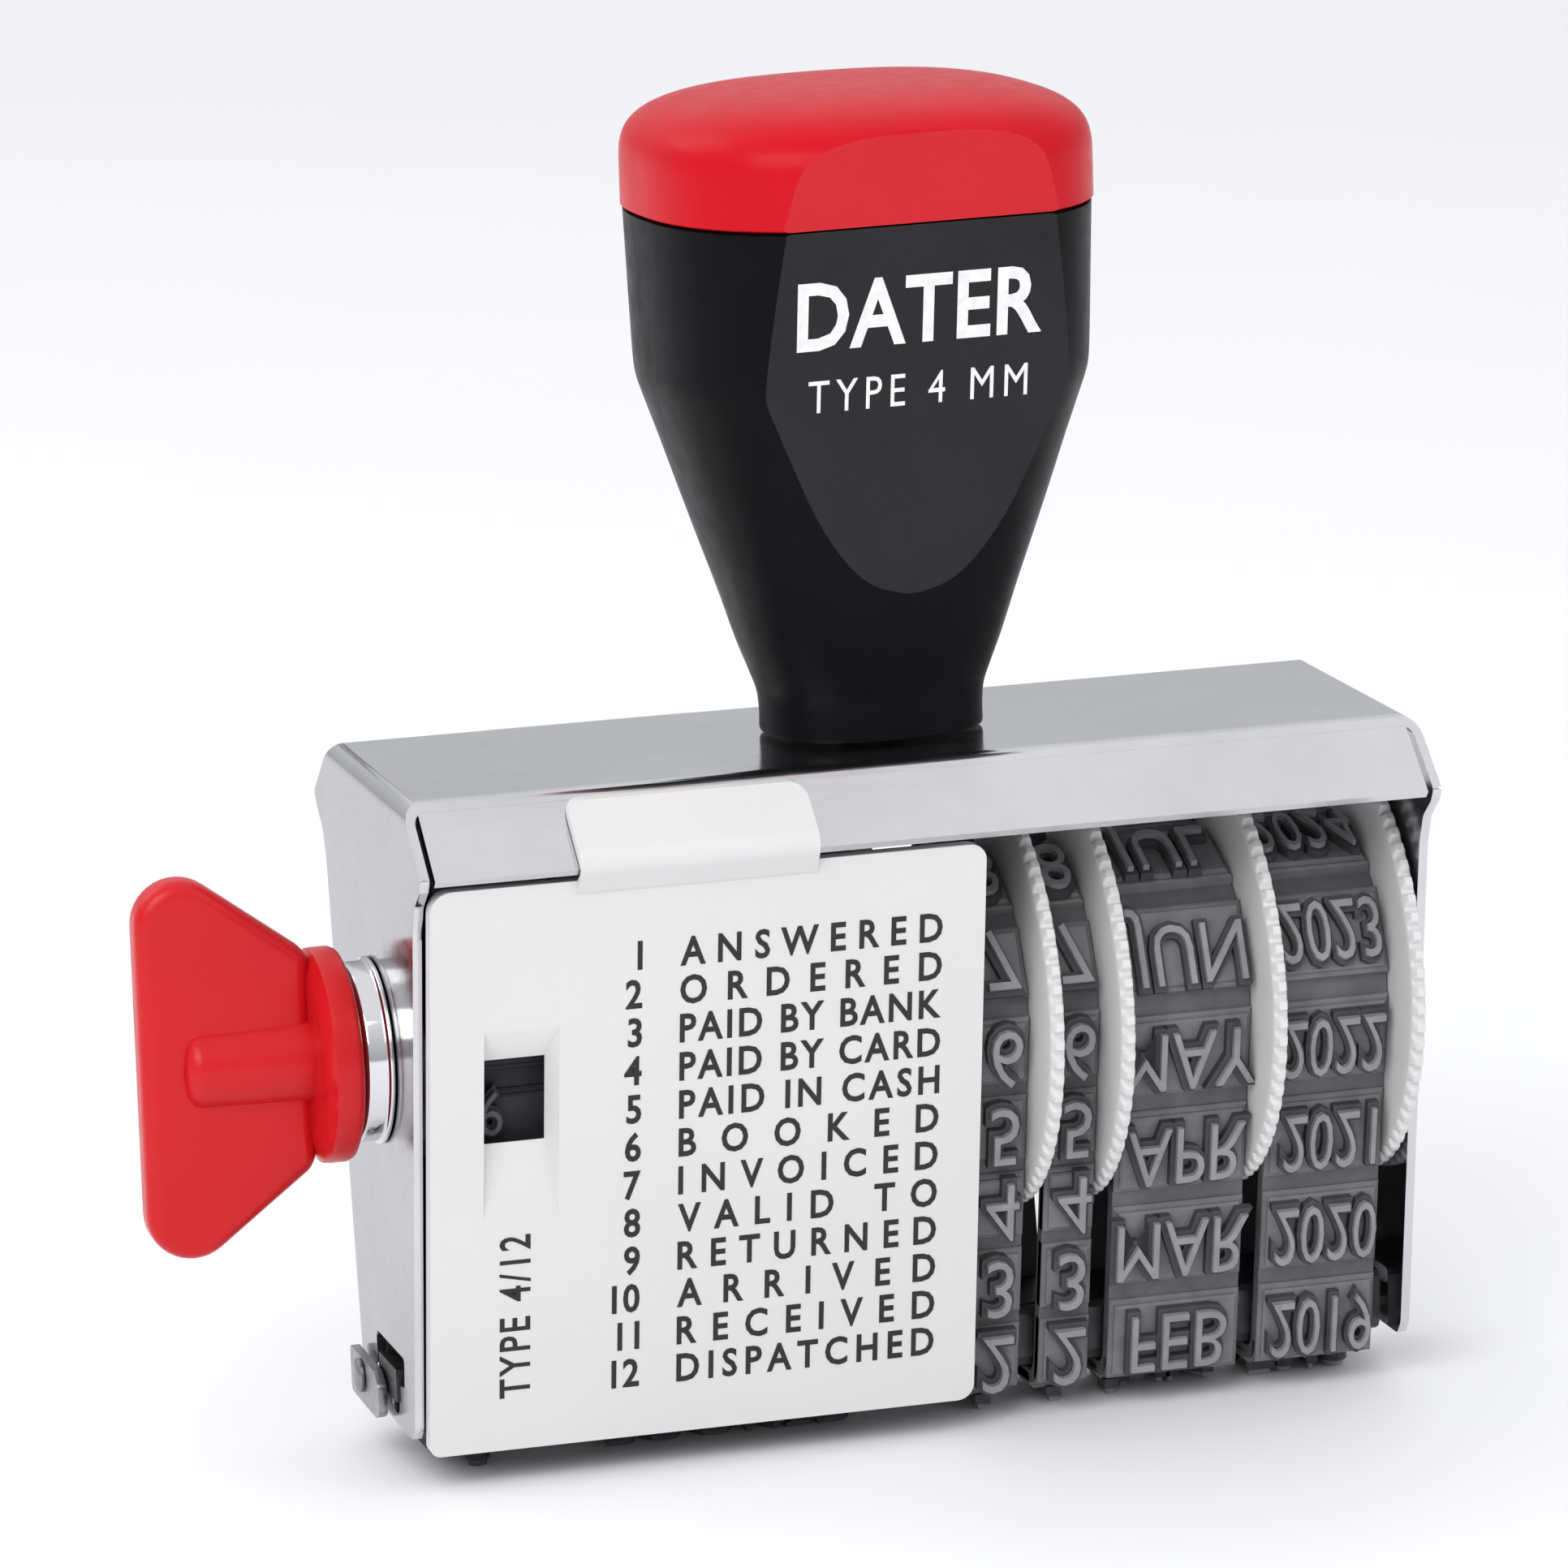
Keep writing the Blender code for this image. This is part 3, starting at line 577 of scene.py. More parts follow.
def make_materials():
    """Moulded plastics list roughness, colour spread, grain height and scale, and specular."""
    return {
        "chrome": polished_steel("frame_chrome", (0.66, 0.665, 0.68), 0.13),
        # The end plates' chrome is a darker copy of the same sheet: painted shade for their darker
        # reflection
        "chrome_end_painted_shade": polished_steel("frame_chrome_end", (0.385, 0.385, 0.402), 0.15),
        "collar": polished_steel("collar_chrome", (0.68, 0.685, 0.695), 0.07),
        "steel": dull_steel("plain_steel", (0.36, 0.362, 0.372), 0.30),
        "zinc": dull_steel("zinc_steel", (0.62, 0.63, 0.64), 0.36),
        "black": moulded("handle_black", (0.004, 0.0042, 0.005), 0.36, 0.15, 0.006, 2.5, 0.06),
        "black_grain": moulded("handle_black_grain", (0.014, 0.014, 0.0155), 0.5, 0.2, 0.07, 3.6, 0.22),
        "cap": moulded("cap_red", (0.56, 0.004, 0.012), 0.32, 0.03, 0.006, 3.0, 0.12, subsurface=0.04),
        "cap_grain": moulded("cap_red_grain", (0.565, 0.007, 0.015), 0.46, 0.03, 0.03, 4.0, 0.3,
                             subsurface=0.04),
        "knob": moulded("knob_red", (0.58, 0.008, 0.012), 0.30, 0.03, 0.006, 3.0, 0.28, subsurface=0.04),
        "cover": moulded("cover_white", (0.69, 0.685, 0.68), 0.42, 0.012, 0.006, 3.0, 0.4, subsurface=0.03),
        "wheel": moulded("wheel_white", (0.70, 0.70, 0.695), 0.42, 0.015, 0.005, 3.0, 0.4, subsurface=0.05),
        "belt": rubber("band_rubber", (0.135, 0.137, 0.142)),
        "pad": rubber("pad_rubber", (0.190, 0.192, 0.198)),
        # The roots' darker rubber is painted shade at the feet of the letters
        "root": rubber("root_rubber_painted_shade", (0.062, 0.063, 0.067)),
        "type": rubber("type_rubber", (0.26, 0.262, 0.27), 0.5),
        # The phrase band's near-black rubber and type are painted shade for the recessed window and the
        # underside of the cover
        "dark_rubber": rubber("phrase_rubber", (0.030, 0.031, 0.036)),
        "dark_type": rubber("phrase_type", (0.075, 0.077, 0.085), 0.5),
        # Dark steel for the bridge: painted shade in the gaps between the bands
        "dark_steel": dull_steel("steel_painted_dark_for_shade", (0.09, 0.09, 0.095), 0.38),
        "ink": ink("legend_ink", (0.008, 0.008, 0.009), 0.5),
        "white_ink": ink("handle_ink", (0.80, 0.80, 0.80), 0.45),
        "floor": floor_material(),
    }


# Frame

def shoulder_axes():
    """Down the shoulder's face and out of it, as (y, z)."""
    along = Vector((SHOULDER_HALF_DEPTH - TOP_HALF_DEPTH, SHOULDER_EDGE_Z - FRAME_TOP)).normalized()
    return along, Vector((-along.y, along.x))


def end_plate_outline():
    """Side outline shared by both end plates, from the rear foot up and over to the front foot."""
    waist = SHOULDER_EDGE_Z
    half = [(6.4, FRAME_BOTTOM, 0.6), (7.1, FRAME_BOTTOM + 0.9, 0.6), (12.1, waist - 4.0, 3.0),
            (12.9, waist - 2.0, 1.0), (14.4, waist - 0.75, 0.4),
            (SHOULDER_HALF_DEPTH, SHOULDER_EDGE_Z + 0.1, 0.35), (TOP_HALF_DEPTH, FRAME_TOP, BEND_RADIUS)]
    return rounded(half + [(-y, z, r) for y, z, r in reversed(half)])


def frame_sheet(paint):
    """One bent sheet: a top, two end plates folded down from it, and two shoulders slit free at the ends."""
    top = FRAME_TOP
    low = FRAME_BOTTOM - 1.0
    profile = strip([(HALF_LENGTH, low), (HALF_LENGTH, top), (-HALF_LENGTH, top), (-HALF_LENGTH, low)],
                    END_BEND_RADIUS)
    sheet = solid(prism("frame_sheet", [profile], *ACROSS, ALONG_Y))
    combine(sheet, prism("outline", [end_plate_outline()], *LENGTHWISE, ALONG_X), "INTERSECT")
    reach = HALF_LENGTH - SHEET - SLIT
    section = [(SHOULDER_HALF_DEPTH, SHOULDER_EDGE_Z), (TOP_HALF_DEPTH, top), (-TOP_HALF_DEPTH, top),
               (-SHOULDER_HALF_DEPTH, SHOULDER_EDGE_Z)]
    hood = prism("hood", [strip(section, BEND_RADIUS)], -reach, reach, ALONG_X)
    combine(sheet, hood, "UNION")
    neck = prism("neck", [circle(NECK_HOLE_RADIUS, 48, (0.0, AXLE_Z))], *LEFT_PLATE, ALONG_X)
    combine(sheet, neck, "DIFFERENCE")
    pivot = prism("pivot", [circle(AXLE_BORE, 32, (0.0, AXLE_Z))], *RIGHT_PLATE, ALONG_X)
    combine(sheet, pivot, "DIFFERENCE")
    base = FRAME_BOTTOM
    # Stepped openings at the foot; the right one is lower, so that no light shows through it
    for first, last, head in ((-40.0, -30.0, 5.0), (30.0, 40.0, 4.0)):
        opening = rounded([(3.0, base + 2.5, 0.3), (3.0, base + head, 0.6), (-4.8, base + head, 0.4),
                           (-4.6, base + 3.0, 0.3), (-3.0, base + 2.8, 0.3), (-3.0, base + 0.7, 0.8),
                           (-1.0, base + 0.7, 0.8), (-1.0, base + 2.5, 0.3)])
        combine(sheet, prism("opening", [opening], first, last, ALONG_X), "DIFFERENCE")
    soften(sheet, 0.12, 2)
    # Faces along X, the end plates, take the darker chrome: painted shade, not a different finish
    for polygon in sheet.data.polygons:
        polygon.material_index = 1 if abs(polygon.normal.x) > 0.9 else 0
    piece("frame_sheet", sheet, [paint["chrome"], paint["chrome_end_painted_shade"]], "frame")


# Covers

def cover_depth(z):
    share = (z - COVER_BOTTOM) / (COVER_TOP - COVER_BOTTOM)
    return COVER_BOTTOM_DEPTH + (COVER_TOP_DEPTH - COVER_BOTTOM_DEPTH) * share


def cover_axes(side):
    """Up the cover's face and out of it, as directions in the frame."""
    spread = COVER_TOP_DEPTH - COVER_BOTTOM_DEPTH
    lean = Vector((0.0, side * spread, COVER_TOP - COVER_BOTTOM)).normalized()
    out = Vector((0.0, side * lean.z, -side * lean.y))
    return lean, out


def window_cut():
    """A pocket with sloping walls that narrows from the rim on the face to the opening behind it."""
    rings = []
    for share in (-0.5, 1.0, 3.0):
        depth = share * COVER_THICKNESS * 0.92
        left, right, low, high = [rim + (inner - rim) * min(share, 1.0)
                                  for rim, inner in zip(WINDOW_RIM, WINDOW_OPENING)]
        corners = ((left, low), (right, low), (right, high), (left, high))
        rings.append([(x, -cover_depth(z) + depth, z) for x, z in corners])
    return grid("window", rings)


def tab_outline(side):
    """The tab's section: it lies on the shoulder, turns over its edge and ends on the cover's face."""
    along, out = shoulder_axes()
    first = Vector((TOP_HALF_DEPTH, FRAME_TOP)) + along * 0.7
    last = Vector((SHOULDER_HALF_DEPTH, SHOULDER_EDGE_Z))
    root = COVER_TOP - 1.1
    crest = last + out * 0.85 + along * 0.25
    corners = [first + out * 0.15, first + out * 0.85, crest,
               Vector((cover_depth(root) + 0.01, root)), Vector((cover_depth(root) - 0.6, root)),
               Vector((cover_depth(COVER_TOP) - 0.5, COVER_TOP - 0.3)),
               last + along * 0.25 - out * 0.25, last + out * 0.15 + along * 0.25]
    radii = (0.12, 0.35, 1.3, 1.0, 0.0, 0.0, 0.1, 0.1)
    return rounded([(side * p.x, p.y, r) for p, r in zip(corners, radii)], 8)


def cover_panel(name, side, paint):
    """A leaning plate with a tab onto the shoulder; the front one has the window."""
    section = [(cover_depth(COVER_BOTTOM), COVER_BOTTOM), (cover_depth(COVER_TOP), COVER_TOP),
               (cover_depth(COVER_TOP) - COVER_THICKNESS, COVER_TOP),
               (cover_depth(COVER_BOTTOM) - COVER_THICKNESS, COVER_BOTTOM)]
    left = COVER_LOW.x
    right = COVER_HIGH.x
    panel = solid(prism(name, [[(side * y, z) for y, z in section]], left, right, ALONG_X))
    face = rounded([(left, COVER_BOTTOM, 0.7), (right, COVER_BOTTOM, COVER_CORNER),
                    (right, COVER_TOP, COVER_CORNER), (left, COVER_TOP, 1.4)])
    combine(panel, prism("face", [face], *ACROSS, ALONG_Y), "INTERSECT")
    first, last = TAB
    tab = solid(prism("tab", [tab_outline(side)], first, last, ALONG_X))
    high = COVER_HIGH.z - 0.6
    low = COVER_TOP - 4.0
    shape = rounded([(first, low, 0.0), (last, low, 0.0), (last, high, 1.0), (first, high, 1.0)])
    combine(tab, prism("tab_shape", [shape], *ACROSS, ALONG_Y), "INTERSECT")
    mesh = tab.data
    bpy.data.objects.remove(tab, do_unlink=True)
    combine(panel, mesh, "UNION")
    if side < 0:
        combine(panel, window_cut(), "DIFFERENCE")
    soften(panel, 0.35, 4)
    node_name = "front_cover" if side < 0 else "rear_cover"
    piece(name, panel, [paint["cover"]], node_name)


def legend_point(x, z):
    return Vector((x, -cover_depth(z) - 0.005, z))


def legend_print(paint):
    """The numbered list beside the window, and the type note that reads upwards."""
    up, out = cover_axes(-1)
    right = Vector((1.0, 0.0, 0.0))
    number_right = -19.4
    word_left = -16.9
    word_width = 17.4
    first_line = 34.6
    pitch = 2.607
    height = 1.85
    bold = 0.022
    meshes = []
    for index, phrase in enumerate(PHRASES):
        z = first_line - index * pitch
        number = lettering(str(index + 1), height, INK_THICKNESS, None, 0.84, bold)
        width = extent(number, 0)[1]
        meshes.append(placed(number, legend_point(number_right - width, z), right, up, out))
        word = lettering(phrase, height, INK_THICKNESS, word_width, 0.84, bold)
        meshes.append(placed(word, legend_point(word_left, z), right, up, out))
    note = lettering("TYPE 4/12", 1.95, INK_THICKNESS, 11.4, 0.8, 0.012)
    meshes.append(placed(note, legend_point(-26.7, 6.0), up, -right, out))
    piece("legend_print", joined("legend_print", meshes), [paint["ink"]], "front_cover", detail=True)


# Wheels and drum

def tooth_wave(radius, angle):
    """Square teeth with rounded corners, at full depth on the rim and none lower down."""
    phase = (angle * TEETH / (2 * math.pi)) % 1.0
    height = max(0.0, min(1.0, 0.5 + 4.0 * (0.31 - abs(phase - 0.5))))
    smooth = height * height * (3 - 2 * height)
    crown = (radius - (WHEEL_RADIUS - TOOTH_DEPTH)) / TOOTH_DEPTH
    return -(1.0 - smooth) * TOOTH_DEPTH * max(0.0, crown)


def wheel(name, band, paint):
    """A white disc that flares from its hub up to a toothed rim."""
    low, high = box_mm(name)
    right = high.x
    rim = right - RIM_WIDTH
    start = box_mm(band)[1].x + 0.1
    root = WHEEL_RADIUS - TOOTH_DEPTH
    flank = root + 0.6 * TOOTH_DEPTH
    flare_low = HUB_RADIUS + 0.6
    flare_high = root - 0.45
    flare_steps = 7
    profile = [(low.x, AXLE_BORE), (low.x, HUB_RADIUS), (start, HUB_RADIUS)]
    for step in range(flare_steps + 1):
        share = step / flare_steps
        profile.append((start + (rim - start) * share ** 2.2, flare_low + (flare_high - flare_low) * share))
    profile += [(rim + 0.02, root - 0.12), (rim + 0.05, root - 0.03), (rim + 0.14, flank),
                (rim + 0.26, WHEEL_RADIUS), (right - 0.22, WHEEL_RADIUS), (right - 0.10, flank),
                (right - 0.03, root - 0.03), (right, root - 0.12), (right, root - 0.9),
                (right - 0.3, root - 1.3), (right - 0.3, 4.4), (right, 4.0), (right, AXLE_BORE)]
    mesh = lathe(name, profile, TEETH * 10, closed=True, wave=tooth_wave)
    label = name.replace("wheel_", "") + "_wheel"
    piece(label, mesh, [paint["wheel"]], name, smooth_below=42.0)


def phrase_drum(paint):
    """Fluted core inside the phrase band, with its neck out through the end plate."""
    low, high = box_mm("phrase_drum")
    start = box_mm("band_phrase")[0].x
    flutes = 12
    neck = 3.3
    core = 7.1

    def wave(radius, angle):
        if radius < core - 1.6:
            return 0.0
        return -0.45 * (1.0 + math.cos(angle * flutes))

    profile = [(low.x, AXLE_BORE), (low.x, neck), (start - 0.1, neck), (start, neck + 0.2),
               (start, core - 0.2), (start + 0.2, core), (high.x - 0.2, core), (high.x, core - 0.2),
               (high.x, AXLE_BORE)]
    piece("phrase_core", lathe("phrase_core", profile, 144, closed=True, wave=wave),
          [paint["wheel"]], "phrase_drum")


# Bands

class Track:
    """The inner line of a band, walked by length from the middle of the print face, by -Y, up and over."""

    def __init__(self, hub_radius, positions):
        self.samples = []
        self.half = 0.0
        small = BRIDGE_HALF_WIDTH - BRIDGE_CORNER
        low_z = BELT_THICKNESS + TYPE_HEIGHT + BRIDGE_CORNER
        rise = AXLE_Z - low_z
        reach = math.hypot(small, rise)
        face = math.pi + math.asin((hub_radius - BRIDGE_CORNER) / reach) - math.atan2(small, rise)
        normal = Vector((math.cos(face), math.sin(face)))
        corner = Vector((-small, low_z))
        hub = Vector((0.0, AXLE_Z))
        foot = low_z - BRIDGE_CORNER
        self.line(Vector((0.0, foot)), Vector((-small, foot)), Vector((0.0, -1.0)))
        self.turn(corner, BRIDGE_CORNER, 1.5 * math.pi, face, 8)
        self.line(corner + normal * BRIDGE_CORNER, hub + normal * hub_radius, normal)
        self.turn(hub, hub_radius, face, math.pi / 2, 24)
        self.positions = positions
        self.pitch = 2 * self.half / positions

    def line(self, start, end, normal):
        self.samples.append((self.half, start, normal))
        self.half += (end - start).length
        self.samples.append((self.half, end, normal))

    def turn(self, centre, radius, first, last, steps):
        whole = abs(last - first) * (radius + BELT_THICKNESS / 2)
        for step in range(steps + 1):
            angle = first + (last - first) * step / steps
            normal = Vector((math.cos(angle), math.sin(angle)))
            self.samples.append((self.half + whole * step / steps, centre + normal * radius, normal))
        self.half += whole

    def at(self, distance):
        """Point, outward normal and forward direction, as (y, z)."""
        distance %= 2 * self.half
        far = distance > self.half
        if far:
            distance = 2 * self.half - distance
        point, normal = self.samples[-1][1:]
        for (s0, p0, n0), (s1, p1, n1) in zip(self.samples, self.samples[1:]):
            if s0 <= distance <= s1 and s1 > s0:
                share = (distance - s0) / (s1 - s0)
                point = p0.lerp(p1, share)
                normal = n0.lerp(n1, share).normalized()
                break
        if far:
            point = Vector((-point.x, point.y))
            normal = Vector((-normal.x, normal.y))
        return point, normal, Vector((normal.y, -normal.x))

    def pad_axes(self, distance):
        """A pad's origin on the inner line, and its along, up-the-letter and outward axes."""
        point, normal, forward = self.at(distance)
        return (Vector((0.0, point.x, point.y)), Vector((1.0, 0.0, 0.0)),
                Vector((0.0, -forward.x, -forward.y)), Vector((0.0, normal.x, normal.y)))

    def belt(self, name, low, high):
        outer = []
        inner = []
        for _, point, normal in self.samples:
            if inner and (inner[-1] - point).length < 1e-4:
                continue
            inner.append(point)
            outer.append(point + normal * BELT_THICKNESS)
        loops = []
        for half in (outer, inner):
            loops.append([(p.x, p.y) for p in half] + [(-p.x, p.y) for p in reversed(half[1:-1])])
        return prism(name, loops, low, high, ALONG_X)


def slab(low, high, half, bottom, top, chamfer, axes):
    """A chamfered block on a pad's axes."""
    origin, right, up, out = axes
    rings = []
    for height, inset in ((bottom, 0.0), (top - chamfer, 0.0), (top, chamfer)):
        rings.append([origin + right * x + up * y + out * height
                      for x, y in ((low + inset, inset - half), (high - inset, inset - half),
                                   (high - inset, half - inset), (low + inset, half - inset))])
    return grid("slab", rings)


def type_word(text, middle, axes, size, narrow, upright=False):
    """A word in relief, centred on its pad: a broad root and the printing line that stands on it."""
    pad_top = BELT_THICKNESS + 0.6
    full = BELT_THICKNESS + TYPE_HEIGHT
    origin, right, up, out = axes
    if upright:
        up = -up
    meshes = []
    for weight, low, high, bevel in ((0.022, pad_top - 0.1, full - 0.4, 0.03),
                                     (-0.012, full - 0.45, full, 0.006)):
        mesh = lettering(text, size, high - low, None, narrow, weight, bevel)
        left, far = extent(mesh, 0)
        bottom, head = extent(mesh, 1)
        mesh.transform(Matrix.Translation((middle - (left + far) / 2, -(bottom + head) / 2, low)))
        meshes.append(placed(mesh, origin, right, up, out))
    return meshes


def band(name, track, words, narrow, rubbers, phase=0.0, numbers=None):
    """A rubber loop: the belt, a stepped pad for each position, and the type on the pads."""
    box_low, box_high = box_mm(name)
    low = box_low.x
    high = box_high.x
    label = name.replace("band_", "")
    half = track.pitch * PAD_SHARE / 2
    belt_paint, pad_paint, root_shade_paint, type_paint = rubbers
    pads = []
    roots = []
    lines = []
    for index in range(track.positions):
        axes = track.pad_axes(index * track.pitch + phase)
        pads.append(slab(low, high, half, 0.3, BELT_THICKNESS + 0.3, 0.16, axes))
        pads.append(slab(low + 0.28, high - 0.28, half - 0.32, 0.6, BELT_THICKNESS + 0.6, 0.14, axes))
        middle = (low + high) / 2
        if numbers is not None and numbers[index]:
            raised = track.pad_axes(index * track.pitch + phase + NUMBER_LIFT)
            root, top = type_word(numbers[index], NUMBER_X, raised, NUMBER_HEIGHT, 0.8, upright=True)
            roots.append(root)
            lines.append(top)
            middle = (NUMBER_X + 3.0 + high) / 2
        if words[index]:
            root, top = type_word(words[index], middle, axes, CAPITAL_HEIGHT, narrow)
            roots.append(root)
            lines.append(top)
    piece(label + "_belt", track.belt(label, low, high), [belt_paint], name)
    # The roots take the darkest rubber: painted shade along the feet of the letters
    for part, meshes, material in (("pads", pads, pad_paint), ("roots", roots, root_shade_paint),
                                   ("type", lines, type_paint)):
        part_name = f"{label}_{part}"
        piece(part_name, joined(part_name, meshes), [material], name, detail=True)


def bands(paint):
    # The grey bands' third rubber, for the letter roots, is painted shade
    grey = (paint["belt"], paint["pad"], paint["root"], paint["type"])
    # The phrase band is darker than the others: painted shade where it sits behind the window and under the
    # cover
    dark = (paint["dark_rubber"], paint["dark_rubber"], paint["dark_rubber"], paint["dark_type"])
    track = Track(*DATE_LOOP)
    years = [str(FIRST_YEAR + index) for index in range(12)] + [""]
    digits = list("1234567890") + [""] * 6
    band("band_year", track, years, 0.62, grey, DATE_PHASE)
    band("band_month", track, MONTHS, 0.78, grey, DATE_PHASE)
    track = Track(*DAY_LOOP)
    band("band_day_units", track, digits, 0.86, grey, DAY_PHASE)
    band("band_day_tens", track, digits, 0.86, grey, DAY_PHASE)
    track = Track(*PHRASE_LOOP)
    # The window shows the number of the phrase at the print face, four places further on
    window_place = 4
    count = len(PHRASES)
    order = [PHRASE_SHOWN - 1 + index for index in range(count)]
    words = [PHRASES[k % count] for k in order] + [""]
    numbers = [str((k - window_place) % count + 1) for k in order] + [""]
    band("band_phrase", track, words, 0.72, dark, 0.0, numbers)


# Handle

def smooth_rows(rows, count):
    """Evenly spaced rows through driving rows of (height, value, ...), by Catmull-Rom splines."""
    made = []
    low = rows[0][0]
    high = rows[-1][0]
    for index in range(count + 1):
        z = low + (high - low) * index / count
        k = max(i for i in range(len(rows) - 1) if rows[i][0] <= z or i == 0)
        p1, p2 = rows[k], rows[k + 1]
        p0 = rows[max(k - 1, 0)]
        p3 = rows[min(k + 2, len(rows) - 1)]
        t = (z - p1[0]) / (p2[0] - p1[0])
        values = []
        for c in range(1, len(p1)):
            m1 = (p2[c] - p0[c]) / (p2[0] - p0[0]) * (p2[0] - p1[0])
            m2 = (p3[c] - p1[c]) / (p3[0] - p1[0]) * (p2[0] - p1[0])
            values.append((2 * t ** 3 - 3 * t ** 2 + 1) * p1[c] + (t ** 3 - 2 * t ** 2 + t) * m1
                          + (3 * t ** 2 - 2 * t ** 3) * p2[c] + (t ** 3 - t ** 2) * m2)
        made.append((z, *values))
    return made


def flat_depth(z):
    return FLAT_LOW_DEPTH + FLAT_SLOPE * (z - FLAT_LOW_Z)


def oblong(angle, half_x, half_y):
    """A point on a rounded oblong."""
    x = math.copysign(abs(math.cos(angle)) ** (2 / GRIP_POWER), math.cos(angle)) * half_x
    y = math.copysign(abs(math.sin(angle)) ** (2 / GRIP_POWER), math.sin(angle)) * half_y
    return x, y


def grip_ring(z, half_x, half_y):
    """One level of the handle: a rounded oblong whose front and back are planed off by the flats.

    The same points always lie on the borders of the flats, so that the borders stay crisp.
    """
    depth = flat_depth(z)
    reach = 1.0 if depth >= half_y else (depth / half_y) ** (GRIP_POWER / 2)
    corner = min(math.asin(reach), math.radians(88.5))
    edge = oblong(corner, half_x, half_y)[0]
    points = []
    for turned in (1, -1):
        for i in range(SIDE_POINTS):
            x, y = oblong(-corner + 2 * corner * i / SIDE_POINTS, half_x, half_y)
            points.append((turned * x, turned * y))
        for i in range(FLAT_POINTS):
            x = edge * (1.0 - 2.0 * i / FLAT_POINTS)
            y = half_y * (1.0 - abs(x / half_x) ** GRIP_POWER) ** (1 / GRIP_POWER)
            points.append((turned * x, turned * min(y, depth)))
    turn = Matrix.Rotation(math.radians(HANDLE_TURN), 2)
    made = [turn @ Vector(point) for point in points]
    return [(point.x, point.y, z) for point in made]


def body_rows():
    """Height, half width and half depth of the black body, from its foot to the seam."""
    base = HANDLE_LOW.z
    rows = ((0.0, 7.25, 5.7), (1.2, 7.25, 5.55), (2.6, 7.4, 5.6), (3.8, 7.8, 5.95), (6.0, 8.6, 6.75),
            (9.3, 9.6, 8.05), (12.6, 10.7, 9.2), (15.9, 11.78, 10.35), (19.2, 12.84, 11.45),
            (22.2, 13.84, 12.5), (23.1, 14.12, 12.85), (23.8, 14.27, 13.05), (24.8, 14.35, 13.15),
            (27.0, 14.43, 13.3),
            (HANDLE_HIGH.z + SEAM_RISE - base, GRIP_HALF_WIDTH, GRIP_HALF_DEPTH))
    return [(base + z, x, y) for z, x, y in rows]


def mark_flats(mesh):
    """Give the planed flats the second material."""
    back = Matrix.Rotation(math.radians(HANDLE_TURN), 3, "Z").inverted()
    for polygon in mesh.polygons:
        middle = back @ polygon.center
        flat = abs(middle.y) > (flat_depth(middle.z / MM) - 0.02) * MM
        if flat and abs(polygon.normal.z) < 0.35 + FLAT_SLOPE:
            polygon.material_index = 1


def crisp_borders(mesh):
    """Keep the edge between two finishes sharp."""
    finish = {}
    for polygon in mesh.polygons:
        for key in polygon.edge_keys:
            finish.setdefault(key, set()).add(polygon.material_index)
    for edge in mesh.edges:
        if len(finish.get(edge.key, ())) > 1:
            edge.use_edge_sharp = True


def handle_part(name, rings, finishes, node_name, smooth_below):
    """A part of the handle in two finishes, the second for the planed flats."""
    mesh = grid(name, rings)
    mark_flats(mesh)
    item = piece(name, mesh, finishes, node_name, smooth_below)
    crisp_borders(item.data)


def handle(paint):
    """The black body, from a narrow foot up to the seam."""
    top = HANDLE_HIGH.z + SEAM_RISE
    rings = [grip_ring(HANDLE_LOW.z, 6.9, 5.3), grip_ring(HANDLE_LOW.z, 7.2, 5.6)]
    rings += [grip_ring(z, x, y) for z, x, y in smooth_rows(body_rows(), 150)][1:-1]
    rings += [grip_ring(top - 0.1, GRIP_HALF_WIDTH, GRIP_HALF_DEPTH),
              grip_ring(top, GRIP_HALF_WIDTH - 0.12, GRIP_HALF_DEPTH - 0.12), grip_ring(top, *SEAM_HALF)]
    handle_part("handle_grip", rings, [paint["black"], paint["black_grain"]], "handle_body",
                40.0)


def cap(paint):
    """The red top: straight sides, planed flats, and a shallow crown with a tighter shoulder."""
    base = HANDLE_HIGH.z + SEAM_RISE + CAP_LIP
    low = base + CAP_LIP
    crown = 5.2
    start = CAP_HIGH.z - 0.2 - crown
    half_x = GRIP_HALF_WIDTH + 0.13
    half_y = GRIP_HALF_DEPTH + 0.12
    rings = [grip_ring(base, *SEAM_HALF), grip_ring(base, half_x - 0.2, half_y - 0.2),
             grip_ring(low, half_x, half_y)]
    side_steps = 12
    for index in range(1, side_steps + 1):
        rings.append(grip_ring(low + (start - low) * index / side_steps, half_x, half_y))
    crown_steps = 60
    for index in range(1, crown_steps + 1):
        angle = math.pi / 2 * index / crown_steps
        inset = 11.5 * (1.0 - math.cos(angle)) ** 1.6
        rings.append(grip_ring(start + crown * math.sin(angle), half_x - inset, half_y - inset))
    handle_part("handle_top", rings, [paint["cap"], paint["cap_grain"]], "handle_cap", 50.0)


def handle_print(paint):
    """Two generic lines on the front flat."""
    turn = Matrix.Rotation(math.radians(HANDLE_TURN), 3, "Z")
    up = (turn @ Vector((0.0, -FLAT_SLOPE, 1.0))).normalized()
    right = turn @ Vector((1.0, 0.0, 0.0))
    out = right.cross(up)
    meshes = []
    for text, z, height, width, narrow, weight in (("DATER", 73.1, 4.2, 16.6, 0.84, 0.022),
                                                   ("TYPE 4 MM", 68.9, 2.1, 14.9, 0.8, 0.0)):
        mesh = lettering(text, height, INK_THICKNESS, width, narrow, weight)
        left, far = extent(mesh, 0)
        middle = (left + far) / 2
        origin = turn @ Vector((0.0, -flat_depth(z) - 0.01, 0.0)) + Vector((0.0, 0.0, z)) - right * middle
        meshes.append(placed(mesh, origin, right, up, out))
    piece("handle_print", joined("handle_print", meshes), [paint["white_ink"]], "handle_body",
          detail=True)


# Knob and collar

